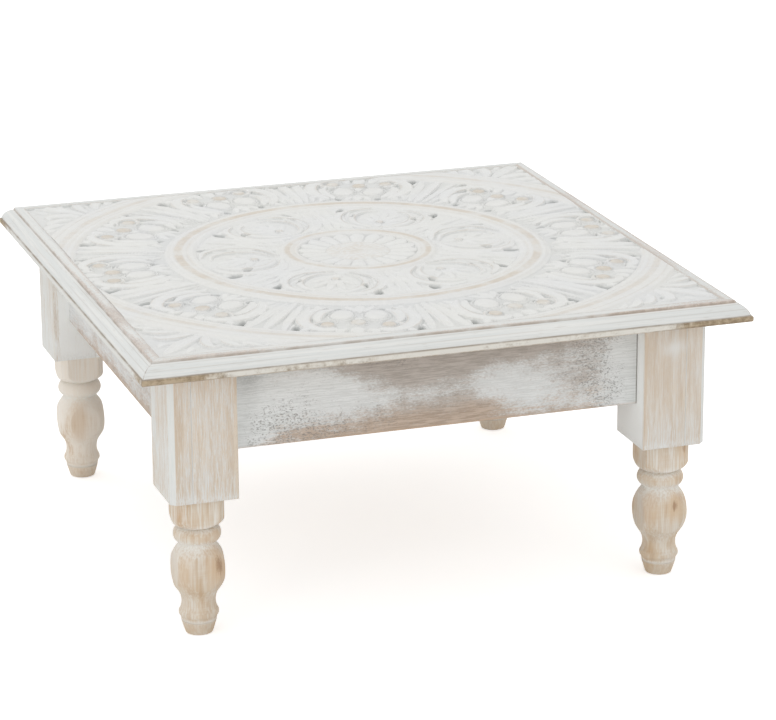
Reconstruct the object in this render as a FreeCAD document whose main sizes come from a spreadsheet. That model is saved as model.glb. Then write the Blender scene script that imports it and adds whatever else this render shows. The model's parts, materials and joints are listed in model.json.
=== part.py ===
"""Low square bajot table: carved mandala top in a mitred moulding, leg blocks, turned feet.

The origin is the middle of the floor under the table, +Z is up, the front faces -Y.
Every size is a cell of the sheet; all other sizes and places are worked out from those cells.
"""
import FreeCAD, Part
import math
import os

import Sketcher

OUTPUT_FOLDER = "parts"
FULL_TURN = 360
QUARTER_TURN = 90

os.makedirs(OUTPUT_FOLDER, exist_ok=True)
doc = FreeCAD.newDocument("BajotTable")
sheet = doc.addObject("Spreadsheet::Sheet", "Sizes")
sheet_rows = []


class Size:
    """A length that knows both its sheet formula and its present value."""

    def __init__(self, text, number):
        self.text = text
        self.number = number

    def __add__(self, other):
        other = as_size(other)
        return Size(f"({self.text} + {other.text})", self.number + other.number)

    def __radd__(self, other):
        return as_size(other) + self

    def __sub__(self, other):
        other = as_size(other)
        return Size(f"({self.text} - {other.text})", self.number - other.number)

    def __rsub__(self, other):
        return as_size(other) - self

    def __mul__(self, other):
        other = as_size(other)
        return Size(f"({self.text} * {other.text})", self.number * other.number)

    def __rmul__(self, other):
        return as_size(other) * self

    def __truediv__(self, other):
        other = as_size(other)
        return Size(f"({self.text} / {other.text})", self.number / other.number)

    def __neg__(self):
        return Size(f"(0 - {self.text})", -self.number)


def as_size(value):
    if isinstance(value, Size):
        return value
    return Size(repr(value), value)


def size(alias, number):
    """Write one driving size to the sheet and return it."""
    sheet_rows.append(alias)
    row = len(sheet_rows)
    sheet.set(f"A{row}", alias)
    sheet.set(f"B{row}", str(number))
    sheet.setAlias(f"B{row}", alias)
    return Size(f"Sizes.{alias}", number)


# Whole table
top_width = size("top_width", 600)
table_height = size("table_height", 288)
top_thickness = size("top_thickness", 19.5)
cut_overrun = size("cut_overrun", 5)

# Moulding round the top, measured inwards from its outer edge and up from its underside
moulding_width = size("moulding_width", 24)
nose_height = size("nose_height", 6)
nose_radius = size("nose_radius", 2)
nose_step = size("nose_step", 1.8)
slope_width = size("slope_width", 11.4)
slope_radius = size("slope_radius", 15)
lip_riser_height = size("lip_riser_height", 2.4)
lip_arris_radius = size("lip_arris_radius", 1.4)

# Carved panel
tongue_depth = size("tongue_depth", 8)
tongue_clearance = size("tongue_clearance", 0.3)
tongue_height = size("tongue_height", 6)
tongue_rise = size("tongue_rise", 5)
panel_drop = size("panel_drop", 0.6)
relief_depth = size("relief_depth", 6)
medallion_radius = size("medallion_radius", 31)
medallion_height = size("medallion_height", 3.4)
inner_ring_radius = size("inner_ring_radius", 70)
inner_ring_width = size("inner_ring_width", 15)
middle_ring_radius = size("middle_ring_radius", 179)
middle_ring_width = size("middle_ring_width", 30)
outer_ring_radius = size("outer_ring_radius", 316)
outer_ring_width = size("outer_ring_width", 25)
deep_cut_depth = size("deep_cut_depth", 3)

# Leg blocks
leg_inset = size("leg_inset", 32.5)
block_width = size("block_width", 65.5)
facing_thickness = size("facing_thickness", 21.5)
corner_chamfer = size("corner_chamfer", 5.5)

# Turned feet
foot_height = size("foot_height", 139.5)
foot_blank_width = size("foot_blank_width", 45)
toe_bottom_radius = size("toe_bottom_radius", 13.6)
toe_rounding_radius = size("toe_rounding_radius", 2.5)
toe_top_radius = size("toe_top_radius", 16.6)
toe_height = size("toe_height", 9.6)
toe_line_depth = size("toe_line_depth", 0.7)
toe_line_height = size("toe_line_height", 1)
ankle_band_radius = size("ankle_band_radius", 17.3)
ankle_band_top = size("ankle_band_top", 17.5)
ankle_bead_radius = size("ankle_bead_radius", 19)
ankle_bead_bottom = size("ankle_bead_bottom", 19.3)
ankle_bead_top = size("ankle_bead_top", 23.4)
bulb_foot_radius = size("bulb_foot_radius", 20)
bulb_foot_level = size("bulb_foot_level", 44)
waist_curve_radius = size("waist_curve_radius", 20)
bulb_radius = size("bulb_radius", 27.4)
bulb_level = size("bulb_level", 65)
bulb_lower_curve_radius = size("bulb_lower_curve_radius", 33.5)
bulb_upper_curve_radius = size("bulb_upper_curve_radius", 35.5)
bulb_top_level = size("bulb_top_level", 90.4)
neck_radius = size("neck_radius", 16.6)
neck_bead_bottom = size("neck_bead_bottom", 91.4)
neck_bead_top = size("neck_bead_top", 107.6)
neck_bead_curve_radius = size("neck_bead_curve_radius", 8.4)
collar_radius = size("collar_radius", 27.8)
collar_bottom_level = size("collar_bottom_level", 108.8)
collar_straight_level = size("collar_straight_level", 119.8)
collar_curve_radius = size("collar_curve_radius", 11.2)
spigot_radius = size("spigot_radius", 10)
spigot_length = size("spigot_length", 30)

# Aprons, cleats and what joins them
apron_setback = size("apron_setback", 17)
apron_thickness = size("apron_thickness", 18)
apron_height = size("apron_height", 86)
dowel_radius = size("dowel_radius", 4)
dowel_seat = size("dowel_seat", 20)
dowel_edge_distance = size("dowel_edge_distance", 20)
top_dowel_radius = size("top_dowel_radius", 5)
top_dowel_seat = size("top_dowel_seat", 9)
cleat_thickness = size("cleat_thickness", 20)
cleat_end_gap = size("cleat_end_gap", 12)
screw_radius = size("screw_radius", 1.75)
screw_head_radius = size("screw_head_radius", 3.5)
screw_head_height = size("screw_head_height", 2.4)
screw_grip = size("screw_grip", 9)
screw_end_distance = size("screw_end_distance", 40)
screw_stagger = size("screw_stagger", 14)

# Places worked out from the sizes above
half_top = top_width / 2
top_underside = table_height - top_thickness
leg_outer = half_top - leg_inset
leg_inner = leg_outer - block_width
leg_centre = leg_outer - block_width / 2
block_height = top_underside - foot_height
apron_outer = leg_outer - apron_setback
apron_inner = apron_outer - apron_thickness
apron_centre = apron_outer - apron_thickness / 2
apron_bottom = top_underside - apron_height
panel_half = half_top - moulding_width
tongue_top = tongue_rise + tongue_height
ground_height = top_thickness - panel_drop - relief_depth
cleat_centre = apron_inner - cleat_thickness / 2
cleat_half_length = leg_inner - cleat_end_gap


def bind(thing, **sizes):
    """Tie properties of an object to sizes; two underscores stand for a dot."""
    for name, value in sizes.items():
        path = name.replace("__", ".")
        thing.setExpression(path, as_size(value).text)


def place(thing, x=0, y=0, z=0, turn=0):
    """Put an object at a sized place, turned about the vertical by a fixed angle."""
    base = FreeCAD.Vector(as_size(x).number, as_size(y).number, as_size(z).number)
    upright = FreeCAD.Vector(0, 0, 1)
    thing.Placement = FreeCAD.Placement(base, FreeCAD.Rotation(upright, turn))
    bind(thing, Placement__Base__x=x, Placement__Base__y=y, Placement__Base__z=z)


def new_body(label):
    body = doc.addObject("PartDesign::Body", label)
    body.Label = label
    return body


def new_sketch(body, name, role, level=0):
    """Sketch on one of the body's own origin planes, lifted off it by a size."""
    sketch = body.newObject("Sketcher::SketchObject", name)
    for plane in body.Origin.OriginFeatures:
        if plane.Role == role:
            sketch.AttachmentSupport = [(plane, "")]
    sketch.MapMode = "FlatFace"
    bind(sketch, AttachmentOffset__Base__z=level)
    return sketch


def fix_point(sketch, geometry, end, x, y):
    """Hold one end of a sketch line at a sized place."""
    for kind, value, axis in (("DistanceX", x, -2), ("DistanceY", y, -1)):
        value = as_size(value)
        if value.number == 0:
            sketch.addConstraint(Sketcher.Constraint("PointOnObject", geometry, end, axis))
        else:
            rule = Sketcher.Constraint(kind, -1, 1, geometry, end, value.number)
            index = sketch.addConstraint(rule)
            sketch.setExpression(f"Constraints[{index}]", value.text)


def outline(sketch, corners):
    """Closed outline. A corner is (x, y), or (x, y, radius, side) where an arc leads to it.

    Side is 1 for an arc that bulges to the left of its run and -1 to the right.
    """
    flat = [FreeCAD.Vector(as_size(c[0]).number, as_size(c[1]).number, 0) for c in corners]
    upright = FreeCAD.Vector(0, 0, 1)
    edges = []
    for index, corner in enumerate(corners):
        start = flat[index - 1]
        end = flat[index]
        if len(corner) == 2:
            edges.append(sketch.addGeometry(Part.LineSegment(start, end), False))
            continue
        radius = corner[2].number
        side = corner[3]
        chord = end - start
        left = upright.cross(chord).normalize()
        drop = math.sqrt(radius ** 2 - (chord.Length / 2) ** 2)
        centre = (start + end) * 0.5 - left * (drop * side)
        middle = centre + left * (radius * side)
        edges.append(sketch.addGeometry(Part.Arc(start, middle, end), False))
    for index, corner in enumerate(corners):
        following = (index + 1) % len(corners)
        end_here = 2
        start_next = 1
        if len(corner) > 2 and corner[3] > 0:
            end_here = 1
        if len(corners[following]) > 2 and corners[following][3] > 0:
            start_next = 2
        joint = Sketcher.Constraint(
            "Coincident", edges[index], end_here, edges[following], start_next)
        sketch.addConstraint(joint)
        fix_point(sketch, edges[index], end_here, corner[0], corner[1])
        if len(corner) > 2:
            rule = Sketcher.Constraint("Radius", edges[index], corner[2].number)
            number = sketch.addConstraint(rule)
            sketch.setExpression(f"Constraints[{number}]", corner[2].text)


def rectangle(sketch, low_x, low_y, high_x, high_y):
    outline(sketch, [(low_x, low_y), (high_x, low_y), (high_x, high_y), (low_x, high_y)])


def square(sketch, half):
    rectangle(sketch, -half, -half, half, half)


def circle(sketch, x, y, radius):
    centre = FreeCAD.Vector(as_size(x).number, as_size(y).number, 0)
    upright = FreeCAD.Vector(0, 0, 1)
    edge = sketch.addGeometry(Part.Circle(centre, upright, radius.number), False)
    number = sketch.addConstraint(Sketcher.Constraint("Radius", edge, radius.number))
    sketch.setExpression(f"Constraints[{number}]", radius.text)
    fix_point(sketch, edge, 3, x, y)


def pad(body, sketch, length, both_ways=False):
    feature = body.newObject("PartDesign::Pad", "Pad")
    feature.Refine = False
    feature.Profile = sketch
    feature.Midplane = both_ways
    bind(feature, Length=length)
    return feature


def volume_of(body):
    doc.recompute()
    return body.Shape.Volume


def cut(body, sketch, length, upwards):
    """Pocket that must take something away."""
    before = volume_of(body)
    feature = body.newObject("PartDesign::Pocket", "Pocket")
    feature.Refine = False
    feature.Profile = sketch
    feature.Reversed = upwards
    bind(feature, Length=length)
    if volume_of(body) >= before:
        raise RuntimeError(f"a cut in {body.Label} takes nothing away")
    return feature


def turn_profile(body, name, corners):
    """Solid turned about the body's upright axis from a half section."""
    sketch = new_sketch(body, name, "XZ_Plane")
    outline(sketch, corners)
    feature = body.newObject("PartDesign::Revolution", name + "Turned")
    feature.Profile = sketch
    feature.ReferenceAxis = (sketch, ["V_Axis"])
    feature.Angle = FULL_TURN


def round_the_axis(body, features, copies):
    """Repeat features evenly about the upright axis."""
    pattern = body.newObject("PartDesign::PolarPattern", "Pattern")
    pattern.Refine = False
    pattern.Originals = features
    for axis in body.Origin.OriginFeatures:
        if axis.Role == "Z_Axis":
            pattern.Axis = (axis, [""])
    pattern.Angle = FULL_TURN
    pattern.Occurrences = copies
    body.Tip = pattern


# Carved relief. A ring's section is given in shares of its width and of the relief depth.
RING_BAND_SHARE = 0.2
RING_BAND_RISE_SHARE = 0.62
RING_QUIRK_RISE_SHARE = 0.42
RING_QUIRK_SHARE = 0.06
RING_CROWN_CURVE_SHARE = 0.46

# A leaf is (distance across its zone, turn from the middle of its motif in shares of the
# motif, half length and half width in shares of the zone, height in shares of the relief,
# lean away from the radius in shares of a quarter turn). As long as wide, it is a berry.
OUTER_LEAF_SHARES = [
    (0.56, 0.0, 0.065, 0.065, 0.9, 0.0),
    (0.55, 0.17, 0.065, 0.065, 0.9, 0.0),
    (0.55, -0.17, 0.065, 0.065, 0.9, 0.0),
    (0.32, 0.1, 0.14, 0.075, 0.7, 0.15),
    (0.32, -0.1, 0.14, 0.075, 0.7, -0.15),
    (0.47, 0.34, 0.36, 0.07, 0.85, 0.13),
    (0.47, -0.34, 0.36, 0.07, 0.85, -0.13),
    (0.82, 0.0, 0.14, 0.08, 0.7, 0.0),
    (0.82, 0.17, 0.13, 0.07, 0.65, -0.1),
    (0.82, -0.17, 0.13, 0.07, 0.65, 0.1),
]
INNER_LEAF_SHARES = [
    (0.52, 0.0, 0.4, 0.1, 0.85, 0.0),
    (0.52, 0.17, 0.38, 0.08, 0.75, -0.14),
    (0.52, -0.17, 0.38, 0.08, 0.75, 0.14),
    (0.5, 0.36, 0.36, 0.07, 0.85, -0.26),
    (0.5, -0.36, 0.36, 0.07, 0.85, 0.26),
]
PETAL_SHARES = [(0.5, 0.0, 0.44, 0.15, 0.6, 0.0)]
OUTER_MOTIFS = 10
INNER_MOTIFS = 6
PETALS = 20
DEEP_CUT_PLACE_SHARE = 0.72
DEEP_CUT_LENGTH_SHARE = 0.3
DEEP_CUT_WIDTH_SHARE = 0.05


def carve_ring(body, name, radius, width):
    """Raised ring: two flat bands, a quirk inside each, and a rounded crown between."""
    inner = radius - width / 2
    outer = radius + width / 2
    band = width * RING_BAND_SHARE
    quirk = width * RING_QUIRK_SHARE
    base = tongue_top
    band_top = ground_height + relief_depth * RING_BAND_RISE_SHARE
    quirk_bottom = ground_height + relief_depth * RING_QUIRK_RISE_SHARE
    crown_curve = width * RING_CROWN_CURVE_SHARE
    turn_profile(body, name, [
        (inner, base),
        (outer, base),
        (outer, band_top),
        (outer - band, band_top),
        (outer - band, quirk_bottom),
        (outer - band - quirk, quirk_bottom),
        (outer - band - quirk, band_top),
        (inner + band + quirk, band_top, crown_curve, -1),
        (inner + band + quirk, quirk_bottom),
        (inner + band, quirk_bottom),
        (inner + band, band_top),
        (inner, band_top),
    ])


def carve_leaves(body, name, shares, inner, outer, copies):
    """Pointed leaves and round berries in a zone between two radii, repeated all round."""
    zone = outer - inner
    leaves = []
    for number, leaf in enumerate(shares):
        place_share, turn_share, length_share, width_share, height_share, lean_share = leaf
        turn = math.radians(FULL_TURN / copies * turn_share)
        lean = turn + math.radians(QUARTER_TURN * lean_share)
        radius = inner + zone * place_share
        x = radius * math.cos(turn)
        y = radius * math.sin(turn)
        half_length = zone * length_share
        half_width = zone * width_share
        sketch = new_sketch(body, f"{name}{number}", "XY_Plane", ground_height)
        if length_share == width_share:
            circle(sketch, x, y, half_width)
        else:
            reach_x = half_length * math.cos(lean)
            reach_y = half_length * math.sin(lean)
            curve = (half_length * half_length + half_width * half_width) / (half_width * 2)
            outline(sketch, [
                (x - reach_x, y - reach_y, curve, -1),
                (x + reach_x, y + reach_y, curve, -1),
            ])
        leaves.append(pad(body, sketch, relief_depth * height_share))
    round_the_axis(body, leaves, copies)


def carve_deep_cuts(body, name, inner, outer, copies):
    """Deep narrow pockets between the motifs."""
    zone = outer - inner
    middle = inner + zone * DEEP_CUT_PLACE_SHARE
    half_length = zone * DEEP_CUT_LENGTH_SHARE / 2
    half_width = zone * DEEP_CUT_WIDTH_SHARE / 2
    sketch = new_sketch(body, name, "XY_Plane", ground_height)
    rectangle(sketch, -half_width, middle - half_length, half_width, middle + half_length)
    pocket = cut(body, sketch, deep_cut_depth, False)
    round_the_axis(body, [pocket], copies)


def make_carved_panel():
    body = new_body("carved_panel")
    place(body, z=top_underside)
    ground = new_sketch(body, "Ground", "XY_Plane")
    square(ground, panel_half)
    pad(body, ground, ground_height)
    tongue = new_sketch(body, "Tongue", "XY_Plane", tongue_rise)
    square(tongue, panel_half + tongue_depth - tongue_clearance)
    pad(body, tongue, tongue_height)
    holes = new_sketch(body, "TopDowelHoles", "XY_Plane")
    for side_x in (-1, 1):
        for side_y in (-1, 1):
            circle(holes, leg_centre * side_x, leg_centre * side_y, top_dowel_radius)
    cut(body, holes, top_dowel_seat, True)
    pilots = new_sketch(body, "CleatScrewHoles", "XY_Plane")
    for x, y in cleat_screw_places():
        circle(pilots, x, y, screw_radius)
    cut(body, pilots, screw_grip, True)
    rings = (
        ("InnerRing", inner_ring_radius, inner_ring_width),
        ("MiddleRing", middle_ring_radius, middle_ring_width),
        ("OuterRing", outer_ring_radius, outer_ring_width),
    )
    for name, radius, width in rings:
        carve_ring(body, name, radius, width)
    dome_radius = (
        medallion_radius * medallion_radius + medallion_height * medallion_height
    ) / (medallion_height * 2)
    turn_profile(body, "Medallion", [
        (0, tongue_top),
        (medallion_radius, tongue_top),
        (medallion_radius, ground_height),
        (0, ground_height + medallion_height, dome_radius, -1),
    ])
    inner_edge = inner_ring_radius + inner_ring_width / 2
    middle_low = middle_ring_radius - middle_ring_width / 2
    middle_high = middle_ring_radius + middle_ring_width / 2
    outer_low = outer_ring_radius - outer_ring_width / 2
    petal_edge = inner_ring_radius - inner_ring_width / 2
    carve_deep_cuts(body, "InnerDeepCut", inner_edge, middle_low, INNER_MOTIFS)
    carve_deep_cuts(body, "OuterDeepCut", middle_high, outer_low, OUTER_MOTIFS)
    carve_leaves(body, "Petal", PETAL_SHARES, medallion_radius, petal_edge, PETALS)
    carve_leaves(body, "InnerLeaf", INNER_LEAF_SHARES, inner_edge, middle_low, INNER_MOTIFS)
    carve_leaves(body, "OuterLeaf", OUTER_LEAF_SHARES, middle_high, outer_low, OUTER_MOTIFS)
    edge = new_sketch(body, "VisibleEdge", "XY_Plane", tongue_top)
    square(edge, panel_half)
    square(edge, outer_ring_radius + outer_ring_width)
    cut(body, edge, top_thickness, True)


def cleat_screw_places():
    """Places of the upright screws, three in each cleat."""
    reach = cleat_half_length - screw_end_distance
    places = []
    for side in (-1, 1):
        for along in (-1, 0, 1):
            places.append((reach * along, cleat_centre * side))
            places.append((cleat_centre * side, reach * along))
    return places


def make_moulding(label, turn):
    """Mitred member of the top's edge, modelled at the front and turned into place."""
    body = new_body(label)
    place(body, z=top_underside, turn=turn)
    outer = -half_top
    inner = -panel_half
    slope_foot = outer + nose_step
    slope_top = slope_foot + slope_width
    lip_level = top_thickness
    slope_top_level = lip_level - lip_riser_height
    groove = inner - tongue_depth
    section = new_sketch(body, "Section", "YZ_Plane")
    outline(section, [
        (outer + nose_radius, 0, nose_radius, -1),
        (inner, 0),
        (inner, tongue_rise),
        (groove, tongue_rise),
        (groove, tongue_top),
        (inner, tongue_top),
        (inner, lip_level - lip_arris_radius),
        (inner - lip_arris_radius, lip_level, lip_arris_radius, -1),
        (slope_top + lip_arris_radius, lip_level),
        (slope_top, lip_level - lip_arris_radius, lip_arris_radius, -1),
        (slope_top, slope_top_level),
        (slope_foot, nose_height, slope_radius, -1),
        (outer + nose_step / 2, nose_height),
        (outer, nose_height - nose_step / 2),
        (outer, nose_radius),
    ])
    pad(body, section, top_width, both_ways=True)
    mitres = new_sketch(body, "Mitres", "XY_Plane")
    far = half_top + cut_overrun
    near = panel_half - cut_overrun
    for side in (-1, 1):
        outline(mitres, [(far * side, -far), (far * side, -near), (near * side, -near)])
    cut(body, mitres, top_thickness + cut_overrun, True)
    return body


def make_foot(label, side_x, side_y):
    """Foot turned from a square blank, with flats left where the blank was too small."""
    body = new_body(label)
    place(body, x=leg_centre * side_x, y=leg_centre * side_y)
    toe_line_top = toe_height + toe_line_height
    toe_line_radius = toe_top_radius - toe_line_depth
    turn_profile(body, "Turning", [
        (0, 0),
        (toe_bottom_radius - toe_rounding_radius, 0),
        (toe_bottom_radius, toe_rounding_radius, toe_rounding_radius, -1),
        (toe_top_radius, toe_height),
        (toe_line_radius, toe_height),
        (toe_line_radius, toe_line_top),
        (toe_top_radius, toe_line_top),
        (ankle_band_radius, ankle_band_top),
        (ankle_bead_radius, ankle_bead_bottom),
        (ankle_bead_radius, ankle_bead_top),
        (bulb_foot_radius, bulb_foot_level, waist_curve_radius, 1),
        (bulb_radius, bulb_level, bulb_lower_curve_radius, -1),
        (neck_radius, bulb_top_level, bulb_upper_curve_radius, -1),
        (neck_radius, neck_bead_bottom),
        (neck_radius, neck_bead_top, neck_bead_curve_radius, -1),
        (neck_radius, collar_bottom_level),
        (collar_radius, collar_straight_level, collar_curve_radius, -1),
        (collar_radius, foot_height),
        (spigot_radius, foot_height),
        (spigot_radius, foot_height + spigot_length),
        (0, foot_height + spigot_length),
    ])
    flats = new_sketch(body, "Flats", "XY_Plane")
    square(flats, foot_blank_width / 2)
    square(flats, collar_radius + cut_overrun)
    cut(body, flats, foot_height, True)


def box(name, low, high):
    """Block between two sized corners."""
    block = doc.addObject("Part::Box", name)
    length, width, height = (b - a for a, b in zip(low, high))
    bind(block, Length=length, Width=width, Height=height)
    place(block, *low)
    return block


AXIS_TURNS = {
    "x": FreeCAD.Rotation(FreeCAD.Vector(0, 1, 0), QUARTER_TURN),
    "-x": FreeCAD.Rotation(FreeCAD.Vector(0, 1, 0), -QUARTER_TURN),
    "y": FreeCAD.Rotation(FreeCAD.Vector(1, 0, 0), -QUARTER_TURN),
    "-y": FreeCAD.Rotation(FreeCAD.Vector(1, 0, 0), QUARTER_TURN),
    "z": FreeCAD.Rotation(),
}


def point_along(thing, direction, start):
    """Lay a round piece along a direction from its sized starting point."""
    place(thing, *start)
    thing.Placement = FreeCAD.Placement(thing.Placement.Base, AXIS_TURNS[direction])


def rod(name, direction, start, radius, length):
    """Round rod that runs along a direction from its starting point."""
    cylinder = doc.addObject("Part::Cylinder", name)
    bind(cylinder, Radius=radius, Height=length)
    point_along(cylinder, direction, start)
    return cylinder


def screw(name, direction, start, length):
    """Countersunk screw whose head lies flush at its starting point."""
    shank = rod(name + "Shank", direction, start, screw_radius, length)
    head = doc.addObject("Part::Cone", name + "Head")
    bind(head, Radius1=screw_head_radius, Radius2=screw_radius, Height=screw_head_height)
    point_along(head, direction, start)
    whole = doc.addObject("Part::Fuse", name)
    whole.Base = head
    whole.Tool = shank
    return whole


def group(label, pieces):
    """Like pieces that stay separate solids in one node."""
    together = doc.addObject("Part::Compound", label)
    together.Links = pieces
    together.Label = label
    return together


def bored(label, blank, tools):
    """Blank with the places of its neighbours cut out of it."""
    together = doc.addObject("Part::Compound", label + "_cuts")
    together.Links = tools
    piece = doc.addObject("Part::Cut", label)
    piece.Base = blank
    piece.Tool = together
    piece.Label = label
    return piece


def sorted_pair(one, other):
    return (one, other) if one.number < other.number else (other, one)


def sided_box(name, across, along, levels):
    """Block given by two faces each across X, along Y and up Z, in any order."""
    faces = [sorted_pair(*pair) for pair in (across, along, levels)]
    return box(name, [low for low, high in faces], [high for low, high in faces])


def make_dowels(side_name, run, side):
    """Two dowels at each end of one apron, half in the apron and half in the block."""
    dowels = []
    for end in (-1, 1):
        for level in (apron_bottom + dowel_edge_distance, top_underside - dowel_edge_distance):
            name = f"Dowel_{side_name}_{len(dowels)}"
            along = leg_inner * end - dowel_seat
            across = apron_centre * side
            start = (along, across, level) if run == "x" else (across, along, level)
            dowels.append(rod(name, run, start, dowel_radius, dowel_seat * 2))
    return dowels


def make_cleat(side_name, run, side, apron_screws, top_screws):
    """Cleat behind one apron, screwed sideways to the apron and upwards to the top."""
    low = top_underside - cleat_thickness
    inner = apron_inner - cleat_thickness
    reach = cleat_half_length - screw_end_distance
    length = cleat_thickness + screw_grip
    outwards = {("x", -1): "-y", ("x", 1): "y", ("y", -1): "-x", ("y", 1): "x"}[(run, side)]
    middle = cleat_centre * side
    face = inner * side
    level = low + cleat_thickness / 2
    sideways = []
    upright = []
    for number, step in enumerate((-1, 0, 1)):
        place_up = reach * step
        beside = place_up + screw_stagger
        start_up = (place_up, middle, low) if run == "x" else (middle, place_up, low)
        start_out = (beside, face, level) if run == "x" else (face, beside, level)
        upright.append(screw(f"TopScrew_{side_name}_{number}", "z", start_up, length))
        sideways.append(
            screw(f"ApronScrew_{side_name}_{number}", outwards, start_out, length))
    ends = (-cleat_half_length, cleat_half_length)
    faces = (face, apron_inner * side)
    across, along = (ends, faces) if run == "x" else (faces, ends)
    blank = sided_box(f"CleatBlank_{side_name}", across, along, (low, top_underside))
    bored(f"cleat_{side_name}", blank, upright + sideways)
    apron_screws.extend(sideways)
    top_screws.extend(upright)
    return sideways


def make_apron(side_name, run, side, cuts):
    ends = (-leg_inner, leg_inner)
    faces = (apron_inner * side, apron_outer * side)
    across, along = (ends, faces) if run == "x" else (faces, ends)
    blank = sided_box(f"ApronBlank_{side_name}", across, along, (apron_bottom, top_underside))
    bored(f"apron_{side_name}", blank, cuts)


def make_leg_block(corner_name, side_x, side_y, dowels, top_dowel):
    """Block glued up from a core and a facing board, with its outer corner taken off.

    The board is on the outer side of the front blocks and the inner side of the back ones.
    """
    root_two = Size("sqrt(2)", math.sqrt(2))
    corner = doc.addObject("Part::Box", f"Chamfer_{corner_name}")
    bind(
        corner,
        Length=corner_chamfer * root_two,
        Width=corner_chamfer * root_two,
        Height=block_height,
    )
    eighth_turn = QUARTER_TURN / 2
    corner_y = leg_outer * side_y - corner_chamfer
    place(corner, leg_outer * side_x, corner_y, foot_height, eighth_turn)
    start = (leg_centre * side_x, leg_centre * side_y, foot_height)
    spigot = rod(f"SpigotHole_{corner_name}", "z", start, spigot_radius, spigot_length)
    cuts = [corner, spigot, top_dowel] + dowels
    levels = (foot_height, top_underside)
    sides_x = (leg_inner * side_x, leg_outer * side_x)
    sides_y = (leg_inner * side_y, leg_outer * side_y)
    if side_y < 0:
        glue_line = (leg_outer - facing_thickness) * side_x
        core_side, board_side = sides_x
    else:
        glue_line = (leg_inner + facing_thickness) * side_x
        board_side, core_side = sides_x
    core = sided_box(f"Core_{corner_name}", (glue_line, core_side), sides_y, levels)
    board = sided_box(f"Board_{corner_name}", (glue_line, board_side), sides_y, levels)
    bored(f"leg_core_{corner_name}", core, cuts)
    bored(f"leg_facing_{corner_name}", board, cuts)


SIDES = (("front", "x", -1), ("right", "y", 1), ("back", "x", 1), ("left", "y", -1))
CORNERS = (
    ("front_left", -1, -1),
    ("front_right", 1, -1),
    ("back_right", 1, 1),
    ("back_left", -1, 1),
)

make_carved_panel()
apron_screws = []
top_screws = []
dowels = {}
for number, (side_name, run, side) in enumerate(SIDES):
    make_moulding(f"top_moulding_{side_name}", number * QUARTER_TURN)
    dowels[side_name] = make_dowels(side_name, run, side)
    sideways = make_cleat(side_name, run, side, apron_screws, top_screws)
    make_apron(side_name, run, side, dowels[side_name] + sideways)

top_dowels = []
for corner_name, side_x, side_y in CORNERS:
    start = (leg_centre * side_x, leg_centre * side_y, top_underside - top_dowel_seat)
    top_dowel = rod(
        f"TopDowel_{corner_name}", "z", start, top_dowel_radius, top_dowel_seat * 2)
    near = [dowel for side_name in corner_name.split("_") for dowel in dowels[side_name]]
    make_leg_block(corner_name, side_x, side_y, near, top_dowel)
    make_foot(f"turned_foot_{corner_name}", side_x, side_y)
    top_dowels.append(top_dowel)

group("apron_dowels", [dowel for pieces in dowels.values() for dowel in pieces])
group("leg_top_dowels", top_dowels)
group("cleat_apron_screws", apron_screws)
group("cleat_top_screws", top_screws)
doc.recompute()

NODES = ["carved_panel"]
for side_name, run, side in SIDES:
    NODES += [f"top_moulding_{side_name}", f"apron_{side_name}", f"cleat_{side_name}"]
for corner_name, side_x, side_y in CORNERS:
    NODES += [f"leg_core_{corner_name}", f"leg_facing_{corner_name}"]
    NODES += [f"turned_foot_{corner_name}"]
NODES += ["apron_dowels", "leg_top_dowels", "cleat_apron_screws", "cleat_top_screws"]

for thing in doc.Objects:
    if "Invalid" in thing.State or "Error" in thing.State:
        raise RuntimeError(f"{thing.Name} could not be made: {thing.State}")
pieces = {}
for node in NODES:
    shape = doc.getObject(node).Shape
    if shape.isNull() or not shape.isValid() or not shape.Solids:
        raise RuntimeError(f"{node} has no sound solid")
    pieces[node] = shape
for node, shape in pieces.items():
    shape.exportStep(f"{OUTPUT_FOLDER}/{node}.step")
print(f"{len(pieces)} nodes, {sum(len(s.Solids) for s in pieces.values())} solids")
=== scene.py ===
"""Whitewashed bajot low table: carved mandala top, mitred moulding, leg blocks, turned feet."""

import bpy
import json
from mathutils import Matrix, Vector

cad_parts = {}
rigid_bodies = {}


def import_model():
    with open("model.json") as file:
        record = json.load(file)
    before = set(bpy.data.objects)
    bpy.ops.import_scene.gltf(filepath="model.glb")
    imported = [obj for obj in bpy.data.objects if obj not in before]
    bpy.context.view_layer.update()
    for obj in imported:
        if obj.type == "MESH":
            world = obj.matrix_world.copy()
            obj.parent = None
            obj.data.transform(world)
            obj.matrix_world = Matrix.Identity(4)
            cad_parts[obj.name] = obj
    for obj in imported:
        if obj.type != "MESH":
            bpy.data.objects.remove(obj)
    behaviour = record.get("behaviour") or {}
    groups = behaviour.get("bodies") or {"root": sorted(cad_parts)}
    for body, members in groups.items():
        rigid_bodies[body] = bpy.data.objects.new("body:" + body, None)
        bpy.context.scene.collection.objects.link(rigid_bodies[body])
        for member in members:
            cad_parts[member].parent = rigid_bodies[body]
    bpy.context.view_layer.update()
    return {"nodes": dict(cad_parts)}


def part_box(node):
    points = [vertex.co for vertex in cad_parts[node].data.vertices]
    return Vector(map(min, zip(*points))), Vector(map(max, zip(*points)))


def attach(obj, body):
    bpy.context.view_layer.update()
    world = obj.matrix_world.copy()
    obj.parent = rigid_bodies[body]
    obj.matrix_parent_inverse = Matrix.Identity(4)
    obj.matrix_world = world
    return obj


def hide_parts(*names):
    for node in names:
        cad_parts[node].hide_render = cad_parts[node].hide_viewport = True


bl_info = {
    "name": "Bajot Low Table",
    "version": (1, 0, 0),
    "blender": (4, 5, 0),
    "location": "View3D > Sidebar > Bajot",
    "description": "Builds the pieces and finishes of a carved, whitewashed low table",
    "category": "Add Mesh",
}

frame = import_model()

import json
import math
from types import SimpleNamespace

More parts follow.
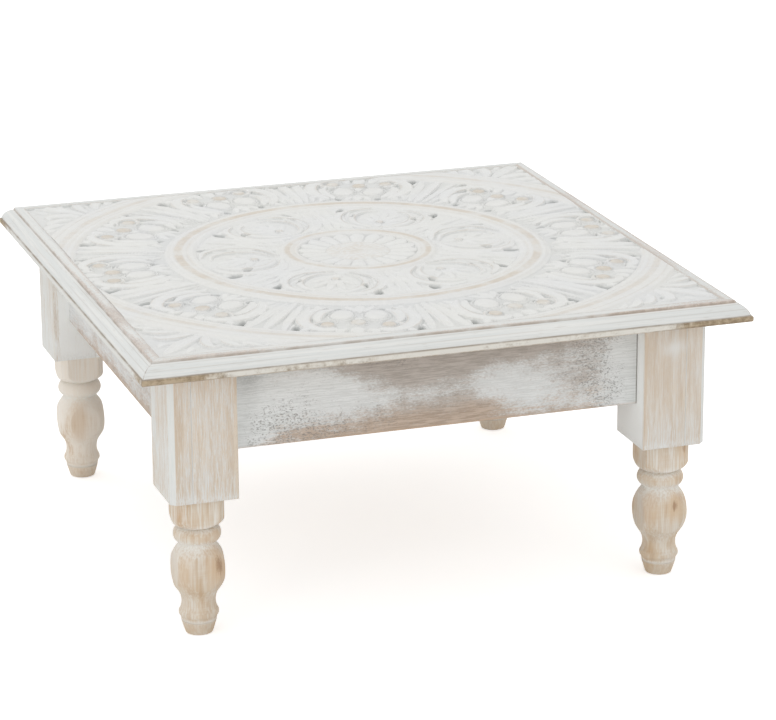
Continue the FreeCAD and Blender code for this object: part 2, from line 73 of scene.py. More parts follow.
import bpy
import numpy as np
from bpy.props import FloatProperty, FloatVectorProperty, IntProperty, PointerProperty
from mathutils import Matrix, Vector

BODY = "root"
MM = 0.001
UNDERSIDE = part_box("carved_panel")[0].z
TOP_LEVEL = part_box("top_moulding_front")[1].z
HALF_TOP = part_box("top_moulding_front")[1].x
HALF_PANEL = 0.276
CORNERS = {
    "front_left": (-1, -1),
    "front_right": (1, -1),
    "back_right": (1, 1),
    "back_left": (-1, 1),
}
SIDES = ("front", "right", "back", "left")


# Sizes and colours

class BajotSizes(bpy.types.PropertyGroup):
    """Sizes of the pieces that are dressed."""

    carving_cell: FloatProperty(
        name="Carving cell", description="Distance between neighbouring points of the carving",
        default=0.0008625, subtype="DISTANCE", unit="LENGTH")
    carving_ground: FloatProperty(
        name="Carving ground", description="Level of the ground between the carved leaves",
        default=0.2842, subtype="DISTANCE", unit="LENGTH")
    panel_boards: IntProperty(
        name="Panel boards", description="Number of boards that the panel is glued up from",
        default=5, min=1)
    block_rounding: FloatProperty(
        name="Block rounding", description="Rounding of the arrises of the leg blocks",
        default=0.0008, subtype="DISTANCE", unit="LENGTH")
    block_chamfer: FloatProperty(
        name="Block chamfer", description="Chamfer on the outer corner of each leg block",
        default=0.0055, subtype="DISTANCE", unit="LENGTH")
    apron_rounding: FloatProperty(
        name="Apron rounding", description="Rounding of the arrises of the aprons",
        default=0.0007, subtype="DISTANCE", unit="LENGTH")
    foot_blank: FloatProperty(
        name="Foot blank", description="Width of the square blank that each foot is turned from",
        default=0.045, subtype="DISTANCE", unit="LENGTH")
    foot_steps: IntProperty(
        name="Foot steps", description="Steps round each turned foot", default=96, min=12)


class BajotColours(bpy.types.PropertyGroup):
    """Colours of the wash and of the wood under it."""

    wash: FloatVectorProperty(
        name="Wash", description="White wash where it lies thick", subtype="COLOR", size=3,
        default=(0.80, 0.80, 0.775))
    foot_wash: FloatVectorProperty(
        name="Foot wash", description="Cream wash on the turned feet", subtype="COLOR", size=3,
        default=(0.77, 0.715, 0.635))
    pale_wood: FloatVectorProperty(
        name="Pale wood", description="Wood that shows through a thin wash", subtype="COLOR",
        size=3, default=(0.66, 0.53, 0.40))
    block_wood: FloatVectorProperty(
        name="Block wood", description="Wood of the leg blocks between the streaks of wash",
        subtype="COLOR", size=3, default=(0.73, 0.635, 0.525))
    apron_wood: FloatVectorProperty(
        name="Apron wood", description="Greyish brown wood where the aprons are rubbed",
        subtype="COLOR", size=3, default=(0.52, 0.47, 0.425))
    foot_wood: FloatVectorProperty(
        name="Foot wood", description="Wood of the turned feet under the wash",
        subtype="COLOR", size=3, default=(0.72, 0.59, 0.43))
    joinery_wood: FloatVectorProperty(
        name="Joinery wood", description="Bare wood of cleats and dowels", subtype="COLOR",
        size=3, default=(0.55, 0.40, 0.26))


# Shader building

class Tone:
    """A shader value that takes part in plain arithmetic."""

    def __init__(self, layout, socket):
        self.layout = layout
        self.socket = socket

    def maths(self, operation, *terms):
        return self.layout.node("ShaderNodeMath", {"operation": operation}, *terms)

    def __add__(self, other):
        return self.maths("ADD", self, other)

    def __radd__(self, other):
        return self.maths("ADD", other, self)

    def __sub__(self, other):
        return self.maths("SUBTRACT", self, other)

    def __rsub__(self, other):
        return self.maths("SUBTRACT", other, self)

    def __mul__(self, other):
        return self.maths("MULTIPLY", self, other)

    def __rmul__(self, other):
        return self.maths("MULTIPLY", other, self)

    def __truediv__(self, other):
        return self.maths("DIVIDE", self, other)

    def __abs__(self):
        return self.maths("ABSOLUTE", self)

    def least(self, other):
        return self.maths("MINIMUM", self, other)

    def most(self, other):
        return self.maths("MAXIMUM", self, other)

    def kept_within_one(self):
        return self.most(0.0).least(1.0)

    def fading(self):
        """1 where the value is 0, falling towards 0 as it grows."""
        return self.maths("EXPONENT", self * -1.0)

    def bell(self):
        """1 where the value is 0, falling smoothly to 0 on both sides."""
        return (self * self).fading()

    def mark(self, place, half_width):
        """1 at a place, falling smoothly to 0 on both sides of it."""
        return ((self - place) / half_width).bell()

    def ramp(self, low, high):
        """0 below low, 1 above high, smooth between; high may be the lower one."""
        settings = {"interpolation_type": "SMOOTHSTEP"}
        if low < high:
            return self.layout.node("ShaderNodeMapRange", settings, self, low, high, 0.0, 1.0)
        return self.layout.node("ShaderNodeMapRange", settings, self, high, low, 1.0, 0.0)


def opaque(colour):
    """A colour from a socket as it is, three numbers with full alpha."""
    return colour if isinstance(colour, Tone) else (*colour[:3], 1.0)


class Layout:
    """Lays out the nodes of a material or a world."""

    def __init__(self, tree):
        self.tree = tree
        tree.nodes.clear()

    def node(self, kind, settings, *inputs, output=0, **named):
        """Add a node, set its settings, then feed its inputs in order or by name."""
        made = self.tree.nodes.new(kind)
        for key, value in settings.items():
            setattr(made, key, value)
        pairs = list(zip(made.inputs, inputs))
        pairs += [(made.inputs[key.replace("_", " ")], value) for key, value in named.items()]
        for socket, value in pairs:
            if isinstance(value, Tone):
                self.tree.links.new(value.socket, socket)
            elif value is not None:
                socket.default_value = value
        return Tone(self, made.outputs[output]) if made.outputs else None

    def ray(self, kind):
        """1 for rays of one kind, such as Camera."""
        return self.node("ShaderNodeLightPath", {}, output=f"Is {kind} Ray")


class Finish(Layout):
    """One material, with the patterns that a wood finish is made of."""

    def __init__(self, name):
        self.material = bpy.data.materials.new(name)
        self.material.use_nodes = True
        super().__init__(self.material.node_tree)
        self.colours = bpy.context.scene.bajot_colours

    def place(self):
        return self.node("ShaderNodeTexCoord", {}, output="Object")

    def split(self, vector):
        parts = self.node("ShaderNodeSeparateXYZ", {}, vector)
        outputs = parts.socket.node.outputs
        return [Tone(self, outputs[axis]) for axis in "XYZ"]

    def moved(self, vector, move=(0, 0, 0), scale=(1, 1, 1)):
        return self.node(
            "ShaderNodeMapping", {}, vector, Vector(move), Vector((0, 0, 0)), Vector(scale))

    def cloud(self, vector, scale, detail=4.0, roughness=0.6, warp=0.0):
        return self.node(
            "ShaderNodeTexNoise", {}, Vector=vector, Scale=scale, Detail=detail,
            Roughness=roughness, Distortion=warp)

    def streaks(self, vector, along, run, across, detail=4.0, roughness=0.6, warp=0.0):
        """Cloud pulled out along an axis, from its scales along and across it."""
        scale = tuple(run if axis == along else across for axis in "xyz")
        return self.cloud(self.moved(vector, scale=scale), 1.0, detail, roughness, warp)

    def blend(self, mask, first, second):
        """Mix two colours by a mask."""
        blank = (None,) * 5
        return self.node(
            "ShaderNodeMix", {"data_type": "RGBA"}, mask, *blank, opaque(first), opaque(second),
            output=2)

    def layers(self, colour, *coats):
        """Lay coats over a colour, each a mask and the colour that it lets through."""
        for mask, coat in coats:
            colour = self.blend(mask, colour, coat)
        return colour

    def attribute(self, name):
        return self.node("ShaderNodeAttribute", {"attribute_name": name}, output="Fac")

    def relief(self, height, distance, strength):
        return self.node(
            "ShaderNodeBump", {}, Strength=strength, Distance=distance, Height=height)

    def close(self, colour, roughness, relief, **constants):
        """Put the surface together."""
        surface = self.node(
            "ShaderNodeBsdfPrincipled", {}, Base_Color=opaque(colour), Roughness=roughness,
            Normal=relief, **constants)
        self.node("ShaderNodeOutputMaterial", {}, surface)
        return self.material


# A layer of grain is its scale along and across the board, detail, roughness and warp
GRAIN_LAYERS = {
    "fibres": (7, 360, 5.0, 0.65, 0.0),
    "figure": (3.5, 63, 4.0, 0.55, 0.6),
    "pores": (63, 900, 2.0, 0.5, 0.0),
}


def grain(finish, place, along, move, *layers):
    """The named layers of the grain of a board that runs along an axis."""
    shifted = finish.moved(place, move=(move, move * 1.7, move * 0.6))
    return [finish.streaks(shifted, along, *GRAIN_LAYERS[layer]) for layer in layers]


# Modelling helpers

def clear_selection():
    for thing in bpy.context.view_layer.objects:
        thing.select_set(False)


def take(piece):
    """Make one piece the only selected and active one."""
    clear_selection()
    piece.select_set(True)
    bpy.context.view_layer.objects.active = piece


def bake_place(piece):
    """Move the object's place into its mesh."""
    take(piece)
    bpy.ops.object.transform_apply(location=True, rotation=True, scale=True)


def board(name, low, high):
    """Block between two corners, as a mesh at its place."""
    clear_selection()
    middle = (Vector(low) + Vector(high)) / 2
    bpy.ops.mesh.primitive_cube_add(size=1.0, location=middle)
    piece = bpy.context.object
    piece.name = name
    piece.scale = Vector(high) - Vector(low)
    bake_place(piece)
    return piece


ARRIS_STEPS = 3
ARRIS_ANGLE = math.radians(30)
TURNED_ANGLE = math.radians(35)


def soften(piece, width):
    """Round the arrises of a piece and shade it smooth between them."""
    take(piece)
    modifier = piece.modifiers.new("Arrises", "BEVEL")
    modifier.width = width
    modifier.segments = ARRIS_STEPS
    modifier.limit_method = "ANGLE"
    modifier.angle_limit = ARRIS_ANGLE
    bpy.ops.object.modifier_apply(modifier=modifier.name)
    bpy.ops.object.shade_smooth_by_angle(angle=ARRIS_ANGLE)


def chamfer_upright(piece, place_x, place_y, width):
    """Chamfer the upright edge of a piece that stands at one place."""
    take(piece)
    bpy.ops.object.mode_set(mode="EDIT")
    bpy.ops.mesh.select_mode(type="EDGE")
    bpy.ops.mesh.select_all(action="DESELECT")
    bpy.ops.object.mode_set(mode="OBJECT")
    for edge in piece.data.edges:
        ends = [piece.data.vertices[index].co for index in edge.vertices]
        edge.select = all(
            abs(end.x - place_x) < MM and abs(end.y - place_y) < MM for end in ends)
    bpy.ops.object.mode_set(mode="EDIT")
    bpy.ops.mesh.bevel(offset=width, offset_type="OFFSET", segments=1)
    bpy.ops.object.mode_set(mode="OBJECT")


def dress(piece, slot, *nodes):
    """Hand a finished piece to the frame."""
    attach(piece, BODY)
    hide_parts(*nodes)


def paint(piece, material):
    piece.data.materials.clear()
    piece.data.materials.append(material)


def paint_node(node, material):
    """Give a carried-over node its finish."""
    thing = frame["nodes"][node]
    if not thing.material_slots:
        thing.data.materials.append(material)
    for slot in thing.material_slots:
        slot.material = material


# Carving, in millimetres

MANDALA_CENTRE = (5.5, 9.0)
GROUND = 0.9
FAR_BELOW = -9.0
TOP_CLEARANCE = 0.2

# Share of the drawn heights that the finished carving keeps
RELIEF_SCALE = 0.8

# The drawing wanders as hand cutting does, by a long and a short wave
LONG_WAVE = 0.9
SHORT_WAVE = 0.5


class Relief:
    """Height of the carving over a square on an even grid of points."""

    def __init__(self, half, cells):
        self.line = np.linspace(-half, half, cells + 1)
        self.flat_x, self.flat_y = np.meshgrid(self.line, self.line, indexing="ij")
        x = self.flat_x - MANDALA_CENTRE[0]
        y = self.flat_y - MANDALA_CENTRE[1]
        self.x = x + LONG_WAVE * np.sin(y / 61 + 0.7) + SHORT_WAVE * np.sin(x / 23 + y / 37)
        self.y = y + LONG_WAVE * np.sin(x / 53 + 2.1) + SHORT_WAVE * np.sin(y / 27 - x / 41)
        self.radius = np.hypot(self.x, self.y)
        self.angle = np.arctan2(self.y, self.x)
        self.height = np.full_like(x, GROUND)
        self.worn = np.zeros_like(x)

    def fold(self, copies, turn=0.0):
        """Coordinates along and across the nearest of the evenly turned motifs."""
        sector = math.tau / copies
        local = (self.angle - turn + sector / 2) % sector - sector / 2
        return self.radius * np.cos(local), self.radius * np.abs(np.sin(local))

    def between(self, low, high):
        return (self.radius > low) & (self.radius < high)


def share_between(value, low, high):
    """0 at low, 1 at high and straight between; high may be the lower one."""
    return np.clip((value - low) / (high - low), 0, 1)


CURVE_STEPS = 9


def smooth_line(points):
    """Points along a soft curve through the given ones."""
    points = np.array(points, float)
    ends = np.vstack([2 * points[0] - points[1], points, 2 * points[-1] - points[-2]])
    line = []
    for a, b, c, d in zip(ends, ends[1:], ends[2:], ends[3:]):
        for step in range(CURVE_STEPS):
            t = step / CURVE_STEPS
            line.append(0.5 * (
                2 * b + (c - a) * t + (2 * a - 5 * b + 4 * c - d) * t ** 2
                + (3 * b - a - 3 * c + d) * t ** 3))
    line.append(points[-1])
    return np.array(line)


def measure_line(u, v, line):
    """Signed distance of points to a line, and how far along it they are, from 0 to 1."""
    best = np.full(u.shape, np.inf)
    side = np.zeros(u.shape)
    along = np.zeros(u.shape)
    lengths = np.hypot(*np.diff(line, axis=0).T)
    total = lengths.sum()
    run = 0.0
    for start, end, length in zip(line, line[1:], lengths):
        dx, dy = (end - start) / length
        px = u - start[0]
        py = v - start[1]
        t = np.clip(px * dx + py * dy, 0, length)
        distance = np.hypot(px - t * dx, py - t * dy)
        nearer = distance < best
        best = np.where(nearer, distance, best)
        side = np.where(nearer, dx * py - dy * px, side)
        along = np.where(nearer, (run + t) / total, along)
        run += length
    return best * np.sign(side), along


def near_line(u, v, line, reach):
    """Points within reach of the box round a line."""
    low = line.min(0) - reach
    high = line.max(0) + reach
    return (u > low[0]) & (u < high[0]) & (v > low[1]) & (v < high[1])


EDGE_ROUNDING = 1.5
FLUTE_DEPTH = 0.3
LEAF_FULLNESS = 0.55
LEAF_SWELL = 0.25


def carve_leaf(relief, where, u, v, leaf):
    """Raise one leaf: a tapered stroke whose face is hollowed, tilted and fluted."""
    points, half_width, height, hollow, tilt, flutes = leaf
    line = smooth_line(points)
    near = where & near_line(u, v, line, half_width)
    signed, along = measure_line(u[near], v[near], line)
    taper = np.sin(math.pi * np.clip(along * 0.9 + 0.05, 0, 1)) ** LEAF_FULLNESS
    across = signed / (half_width * taper)
    share = np.clip(across, -1, 1)
    edge = np.clip((1 - np.abs(share)) * half_width / EDGE_ROUNDING, 0, 1)
    rounding = np.sqrt(1 - (1 - edge) ** 2)
    face = 1 - hollow * (1 - share ** 2) - tilt * (1 - share) / 2
    fluting = FLUTE_DEPTH * np.cos(share * math.pi * flutes) if flutes else 0.0
    rise = (1 - LEAF_SWELL + LEAF_SWELL * np.sin(math.pi * along)) * height
    body = np.where(np.abs(across) < 1, (rise * face + fluting) * rounding, FAR_BELOW)
    relief.height[near] = np.maximum(relief.height[near], body)


# A flat oval: places across it in shares of its half width, depth in shares of its height
OUTLINE_REACH = 1.25
OUTLINE_PLACE = 1.1
OUTLINE_WIDTH = 0.07
OVAL_EDGE = 1.02
GAP_PLACE = 0.97
GAP_WIDTH = 0.06
GAP_DEPTH = 0.4


def carve_dome(relief, zone, u, v, dome):
    """Flat oval and its mirror image in each motif, inside a thin raised outline."""
    (middle_u, middle_v), long, wide, lean, height, worn = dome
    du = u - middle_u
    dv = v - middle_v
    cos, sin = math.cos(lean), math.sin(lean)
    share = np.hypot((du * cos + dv * sin) / long, (dv * cos - du * sin) / wide)
    where = zone & (share < OUTLINE_REACH)
    share = share[where]
    swelling = 1 - 0.16 * share ** 2 - 1.1 * np.clip(share - 0.8, 0, 1)
    rim = 0.9 * np.exp(-((share - OUTLINE_PLACE) / OUTLINE_WIDTH) ** 2)
    gap = GAP_DEPTH * np.exp(-((share - GAP_PLACE) / GAP_WIDTH) ** 2)
    body = height * np.maximum(np.where(share < 1, swelling, 0.0) - gap, rim)
    here = relief.height[where]
    inner = share < OVAL_EDGE
    relief.height[where] = np.where(inner, body, np.maximum(body, here))
    relief.worn[where] = np.where(
        inner, share_between(share, 0.95, 0.83) * worn, relief.worn[where])


# A pocket: its walls and the narrowing of its ends, in shares of its half width
POCKET_REACH = 2.2
POCKET_WALL = 1.6
POCKET_END = 0.55


def sink(relief, u, v, pocket):
    """Cut a deep narrow pocket and its mirror image into each motif."""
    start, end, half_width, depth = pocket
    line = np.array([start, end], float)
    near = near_line(u, v, line, half_width * POCKET_REACH)
    signed, along = measure_line(u[near], v[near], line)
    taper = POCKET_END + (1 - POCKET_END) * np.sin(math.pi * along)
    share = np.clip(POCKET_WALL - np.abs(signed) / (half_width * taper), 0, 1)
    cut = share * share * (3 - 2 * share)
    relief.height[near] = relief.height[near] * (1 - cut) - depth * cut


def carve_ring(relief, ring):
    """Turn one ring from its section: radius, height and wear at each point."""
    radii, heights, wear = np.array(ring, float).T
    where = relief.between(radii[0], radii[-1])
    radius = relief.radius[where]
    relief.height[where] = np.interp(radius, radii, heights)
    relief.worn[where] = np.interp(radius, radii, wear)


DISC_RADIUS = 33
DISC_HEIGHT = 4.2
DISC_ROUGHNESS = 0.45
PETAL_COPIES = 20
PETAL_REACH = 60.5
PETAL_GAP = 0.5
PETAL_CROWN = 0.4
PETAL_GROUND = 0.6
PETAL_RISE = ((DISC_RADIUS, 46, PETAL_REACH), (2.4, 3.7, 4.6))


def carve_petals(relief):
    """Soft scallops round the rough disc in the middle."""
    u, v = relief.fold(PETAL_COPIES)
    where = relief.between(DISC_RADIUS - 1, PETAL_REACH + 1)
    u, v = u[where], v[where]
    half_width = u * math.tan(math.pi / PETAL_COPIES) - PETAL_GAP
    beyond = np.clip(u - (PETAL_REACH - half_width), 0, None)
    share = v / np.sqrt(np.clip(half_width ** 2 - beyond ** 2, 0.01, None))
    rise = np.interp(u, *PETAL_RISE) * (1 - PETAL_CROWN * share ** 2)
    relief.height[where] = np.where(share < 1, rise, PETAL_GROUND)


def carve_disc(relief):
    """Rough round boss in the middle, worn in patches."""
    x, y = relief.flat_x, relief.flat_y
    disc = relief.radius < DISC_RADIUS
    share = relief.radius[disc] / DISC_RADIUS
    rough = np.sin(x / 1.9 + 2 * np.sin(y / 4.1)) * np.sin(y / 1.7 + 2 * np.sin(x / 3.7))
    crown = np.clip(1 - share ** 8, 0, 1) ** 0.5
    relief.height[disc] = DISC_HEIGHT * crown + DISC_ROUGHNESS * rough[disc]
    relief.worn[disc] = np.clip(0.42 - 0.2 * share + 0.3 * rough[disc], 0, 1)


# A leaf is (points along it, half width, height, hollow, tilt to one side, flutes), a dome is
# (middle, half length, half width, lean, height, wear), a pocket (start, end, half width, depth)
OUTER_LEAVES = (
    (((204, 33), (216, 44), (235, 51), (254, 51), (269, 43), (277, 31), (274, 21)),
     7.6, 5.6, 0.35, -0.35, 2),
    (((207, 25), (220, 35), (236, 39), (249, 37)), 5.6, 4.9, 0.35, -0.25, 1),
    (((249, 20), (251, 34), (260, 41), (270, 37), (272, 28), (268, 19)), 2.3, 5.3, 0, 0, 0),
    (((266, 0.1), (277, 0.2), (286, 0.1)), 7.0, 4.9, 0.4, 0, 1),
    (((270, 12), (279, 16), (286, 18)), 5.5, 4.5, 0.4, -0.2, 1),
    (((278, 29), (284, 34), (288, 38)), 5.5, 4.5, 0.4, -0.2, 1),
    (((268, 49), (278, 51), (287, 55)), 4.5, 4.6, 0.35, -0.2, 1),
    (((196, 0.1), (206, 0.1), (217, 0.1)), 5.5, 4.6, 0.2, 0, 0),
    (((197, 13), (205, 10), (214, 4)), 4.0, 4.2, 0.2, 0, 0),
    (((236, 0.1), (241, 0.1), (246, 0.1)), 4.5, 4.2, 0.1, 0, 0),
)
OUTER_FANS = (
    (((196, 0.1), (240, 0.1), (287, 0.1)), 6.2, 5.8, 0.45, 0, 2),
    (((199, 7), (228, 11), (258, 14), (286, 19)), 5.2, 5.5, 0.3, 0.4, 2),
    (((203, 15), (228, 20), (249, 24), (268, 29)), 5.0, 5.2, 0.3, 0.45, 2),
    (((198, 21), (208, 27), (222, 32)), 4.5, 4.6, 0.3, 0.3, 1),
    (((262, 21), (274, 25), (285, 31)), 3.2, 4.8, 0.3, 0.3, 1),
)
OUTER_DOMES = (
    ((229, 16.0), 15.5, 11.8, 0.14, 5.2, 0.06),
    ((253, 0), 8.8, 8.0, 0.0, 5.7, 1.0),
    ((259.6, 28.6), 7.8, 7.2, 0.0, 5.5, 1.0),
)
OUTER_POCKETS = (
    ((263, 58), (281, 60), 3.0, 7.5),
    ((203, 20), (208, 22), 3.0, 4.0),
    ((243, 31), (249, 24), 1.5, 2.0),
)
INNER_LEAVES = (
    (((88, 5), (96, 20), (111, 30), (131, 31), (146, 22), (150, 11)), 4.1, 5.5, 0.3, -0.4, 1),
    (((82, 9), (92, 33), (110, 46), (133, 47), (150, 37), (158, 21)), 5.4, 5.8, 0.35, -0.4, 2),
    (((81, 23), (91, 40), (104, 51), (119, 58)), 4.6, 5.2, 0.3, -0.3, 2),
    (((112, 0.1), (130, 0.1), (146, 0.1)), 4.6, 5.2, 0.35, 0, 1),
    (((112, 4), (127, 9), (139, 16)), 4.2, 5.0, 0.3, -0.2, 1),
    (((110, 7), (117, 14), (122, 22)), 4.0, 4.8, 0.3, -0.2, 1),
    (((92, 0.1), (98, 0.1), (104, 0.1)), 4.5, 4.6, 0.2, 0, 0),
)
INNER_FANS = (
    (((80, 0.1), (120, 0.1), (163, 0.1)), 5.0, 5.8, 0.4, 0, 2),
    (((82, 7), (108, 9), (134, 11), (161, 15)), 4.4, 5.6, 0.25, 0.4, 1),
    (((86, 14), (106, 18), (130, 22), (158, 30)), 4.4, 5.3, 0.25, 0.4, 1),
    (((128, 29), (142, 34), (157, 42)), 3.6, 5.0, 0.25, 0.4, 1),
)
INNER_DOMES = (((108, 0), 4.6, 4.2, 0.0, 5.4, 0.5),)
INNER_POCKETS = (
    ((139, 50), (152, 51), 3.0, 7.5),
    ((121, 33), (129, 34), 1.6, 2.4),
)
CORNER_LEAVES = (
    (((325, 0.1), (350, 0.1), (386, 0.1)), 8.0, 5.2, 0.4, 0, 3),
    (((325, 8), (340, 16), (349, 27), (345, 34)), 6.2, 5.0, 0.35, -0.3, 2),
    (((324, 24), (333, 36), (336, 48), (331, 54)), 5.6, 4.9, 0.35, -0.3, 2),
    (((321, 42), (327, 54), (328, 66), (324, 72)), 5.2, 4.7, 0.35, -0.3, 2),
    (((318, 64), (321, 76), (321, 88)), 4.4, 4.5, 0.35, -0.3, 1),
    (((358, 12), (366, 16), (372, 15)), 4.0, 4.6, 0.2, 0, 0),
)
CORNER_POCKETS = (((338, 24), (342, 28), 1.6, 0.6),)

# A ring is its section from the inside out: (radius, height, wear), in mm
INNER_RING = (
    (60.2, 1.4, 0), (61.2, 4.0, 0.1), (63, 4.9, 0.1), (64.8, 4.0, 0.35), (66, 4.9, 0.2),
    (68.4, 5.1, 0.3), (69.4, 4.6, 0.9), (71.5, 4.9, 1), (73.6, 4.6, 0.9), (74.8, 5.2, 0.2),
    (77, 5.1, 0.05), (78.4, 4.4, 0.1), (79.4, 3.2, 0.05), (81, 2.0, 0),
)
MIDDLE_RING = (
    (161, 1.2, 0), (163, 3.4, 0), (165, 4.9, 0.05), (168.6, 5.2, 0.1), (170.2, 4.4, 0.35),
    (171.2, 4.4, 0.35), (172.6, 5.3, 0.15), (175.4, 5.5, 0.15), (176.6, 4.8, 0.8),
    (178, 5.2, 1), (180.5, 5.35, 1), (183, 5.2, 1), (184.4, 4.7, 0.6), (185.6, 5.6, 0.12),
    (188.6, 5.5, 0.05), (190.2, 4.4, 0.15), (191.6, 3.2, 0.1), (194, 2.2, 0),
)
OUTER_RING = (
    (283, 1.6, 0), (285, 3.6, 0.15), (286.4, 4.0, 0.25), (288, 5.0, 0.05), (291, 5.2, 0.05),
    (292.8, 4.4, 0.35), (294.4, 5.2, 0.1), (297, 5.2, 0.2), (298.4, 4.5, 0.6), (301, 5.2, 0.6),
    (303.4, 4.5, 0.55), (305, 5.4, 0.15), (311.5, 5.4, 0.05), (312.8, 4.4, 0.4),
    (314.2, 5.3, 0.1), (318.6, 5.2, 0.05), (320.4, 4.2, 0.15), (322, 2.6, 0.05), (324, 1.6, 0),
)

# A band is its inner and outer radius, the level of its ground, how often its motif comes round
# and by how much it is turned, then its leaves, the fans between them, its domes and pockets
BANDS = (
    (76, 166, 2.0, 6, 0.0, INNER_LEAVES, INNER_FANS, INNER_DOMES, INNER_POCKETS),
    (190, 288, GROUND, 10, 0.0, OUTER_LEAVES, OUTER_FANS, OUTER_DOMES, OUTER_POCKETS),
    (318, 405, 1.5, 4, math.pi / 4, CORNER_LEAVES, (), (), CORNER_POCKETS),
)


def carve_band(relief, inner, outer, ground, copies, turn, leaves, fans, domes, pockets):
    """Carve one band of motifs, all alike, with fans halfway between them."""
    zone = relief.between(inner, outer)
    relief.height[zone] = ground
    u, v = relief.fold(copies, turn)
    for leaf in leaves:
        carve_leaf(relief, zone, u, v, leaf)
    fan_u, fan_v = relief.fold(copies, turn + math.pi / copies)
    for leaf in fans:
        carve_leaf(relief, zone, fan_u, fan_v, leaf)
    for dome in domes:
        carve_dome(relief, zone, u, v, dome)
    for pocket in pockets:
        sink(relief, u, v, pocket)


def blurred(field, reach):
    """Mean of a field over a square window."""
    for axis in (0, 1):
        padding = [(reach + 1, reach) if a == axis else (0, 0) for a in (0, 1)]
        sums = np.cumsum(np.pad(field, padding, mode="edge"), axis=axis)
        width = 2 * reach + 1
        ahead = np.take(sums, range(width, sums.shape[axis]), axis=axis)
        behind = np.take(sums, range(sums.shape[axis] - width), axis=axis)
        field = (ahead - behind) / width
    return field


TOOL_MARKS = 0.14


def carve_mandala(half, cells):
    """The whole carving: petals, bands, the rings between them and the disc in the middle."""
    relief = Relief(half, cells)
    carve_petals(relief)
    for band in BANDS:
        carve_band(relief, *band)
    for ring in (INNER_RING, MIDDLE_RING, OUTER_RING):
        carve_ring(relief, ring)
    carve_disc(relief)
    x, y = relief.flat_x, relief.flat_y
    relief.height = 0.5 * relief.height + 0.5 * blurred(relief.height, 1)
    relief.height += (
        TOOL_MARKS * np.sin(x / 3.1 + np.sin(y / 7)) * np.sin(y / 2.7 + np.sin(x / 5)))
    relief.height *= RELIEF_SCALE
    return relief


def ridge_wear(relief):
    """Wear on sharp ridges and, from 0 to 1, painted shade that is strongest where a point lies
    deep or in a crease.
    """
    height = relief.height / RELIEF_SCALE
    ridge = share_between(height - blurred(height, 3), 0.45, 1.35)
    high = share_between(height, 3.8, 5.0)
    worn = np.clip(np.maximum(relief.worn, ridge * high * 0.5), 0, 1)
    # The second field is painted shade: 1 deep in the hollows and part way in the creases
    crease = share_between(blurred(height, 2) - height, 0.25, 1.85)
    hollow_shade = np.maximum(share_between(height, 2.2, -5.3), crease * 0.55)
    return worn, hollow_shade


def carved_board(name, relief, columns, fields):
    """One closed board of the panel, carved on top."""
    first, last = columns
    ground = bpy.context.scene.bajot_sizes.carving_ground
    level = np.minimum(
        ground + relief.height[first:last + 1] * MM, TOP_LEVEL - TOP_CLEARANCE * MM)
    count_x, count_y = level.shape
    points = np.stack([
        relief.flat_x[first:last + 1] * MM, relief.flat_y[first:last + 1] * MM, level],
        axis=-1).reshape(-1, 3)
    number = np.arange(count_x * count_y).reshape(count_x, count_y)
    quads = np.stack([number[:-1, :-1], number[1:, :-1], number[1:, 1:], number[:-1, 1:]],
                     axis=-1).reshape(-1, 4)
    x0, x1 = points[0, 0], points[-1, 0]
    y0, y1 = points[0, 1], points[-1, 1]
    corners = [(x, y, UNDERSIDE) for x, y in ((x0, y0), (x1, y0), (x1, y1), (x0, y1))]
    a, b, c, d = range(len(points), len(points) + len(corners))
    faces = [tuple(quad) for quad in quads.tolist()]
    faces.append((a, d, c, b))
    rims = (number[::-1, 0], number[-1, ::-1], number[:, -1], number[0, :])
    for start, end, rim in zip((a, b, c, d), (b, c, d, a), rims):
        faces.append((start, end, *rim.tolist()))
    mesh = bpy.data.meshes.new(name)
    mesh.from_pydata(points.tolist() + corners, [], faces)
    for title, field in fields.items():
        attribute = mesh.attributes.new(title, "FLOAT", "POINT")
        values = np.zeros(len(points) + len(corners), np.float32)
        values[:len(points)] = field[first:last + 1].reshape(-1)
        attribute.data.foreach_set("value", values)
    piece = bpy.data.objects.new(name, mesh)
    bpy.context.scene.collection.objects.link(piece)
    return piece, len(quads)


QUAD_CORNERS = 4


def set_carved_normals(piece, relief, columns, carved_faces):
    """Normals of the whole carving, so that the boards meet without a line."""
    first, last = columns
    slope_x, slope_y = np.gradient(relief.height, relief.line[1] - relief.line[0])
    normals = np.stack([-slope_x, -slope_y, np.ones_like(slope_x)], axis=-1)
    normals /= np.linalg.norm(normals, axis=-1, keepdims=True)
    normals = normals[first:last + 1].reshape(-1, 3)
    mesh = piece.data
    mesh.polygons.foreach_set("use_smooth", np.ones(len(mesh.polygons), bool))
    owners = np.zeros(len(mesh.loops), np.int32)
    mesh.loops.foreach_get("vertex_index", owners)
    given = np.zeros((len(mesh.loops), 3))
    carved_corners = carved_faces * QUAD_CORNERS
    given[:carved_corners] = normals[owners[:carved_corners]]
    for face in list(mesh.polygons)[carved_faces:]:
        given[face.loop_start:face.loop_start + face.loop_total] = face.normal
    mesh.normals_split_custom_set(given)


# Finishes

CARVING_EVEN = (0.785, 0.79, 0.785)
CARVING_BRIGHT = (0.86, 0.86, 0.85)
CARVING_DULL = (0.72, 0.715, 0.70)
# Grey painted shade for the hollows and creases of the carving
CARVING_PAINTED_SHADE = (0.47, 0.49, 0.485)
RING_DARK = (0.62, 0.54, 0.44)
RING_PALE = (0.73, 0.675, 0.60)


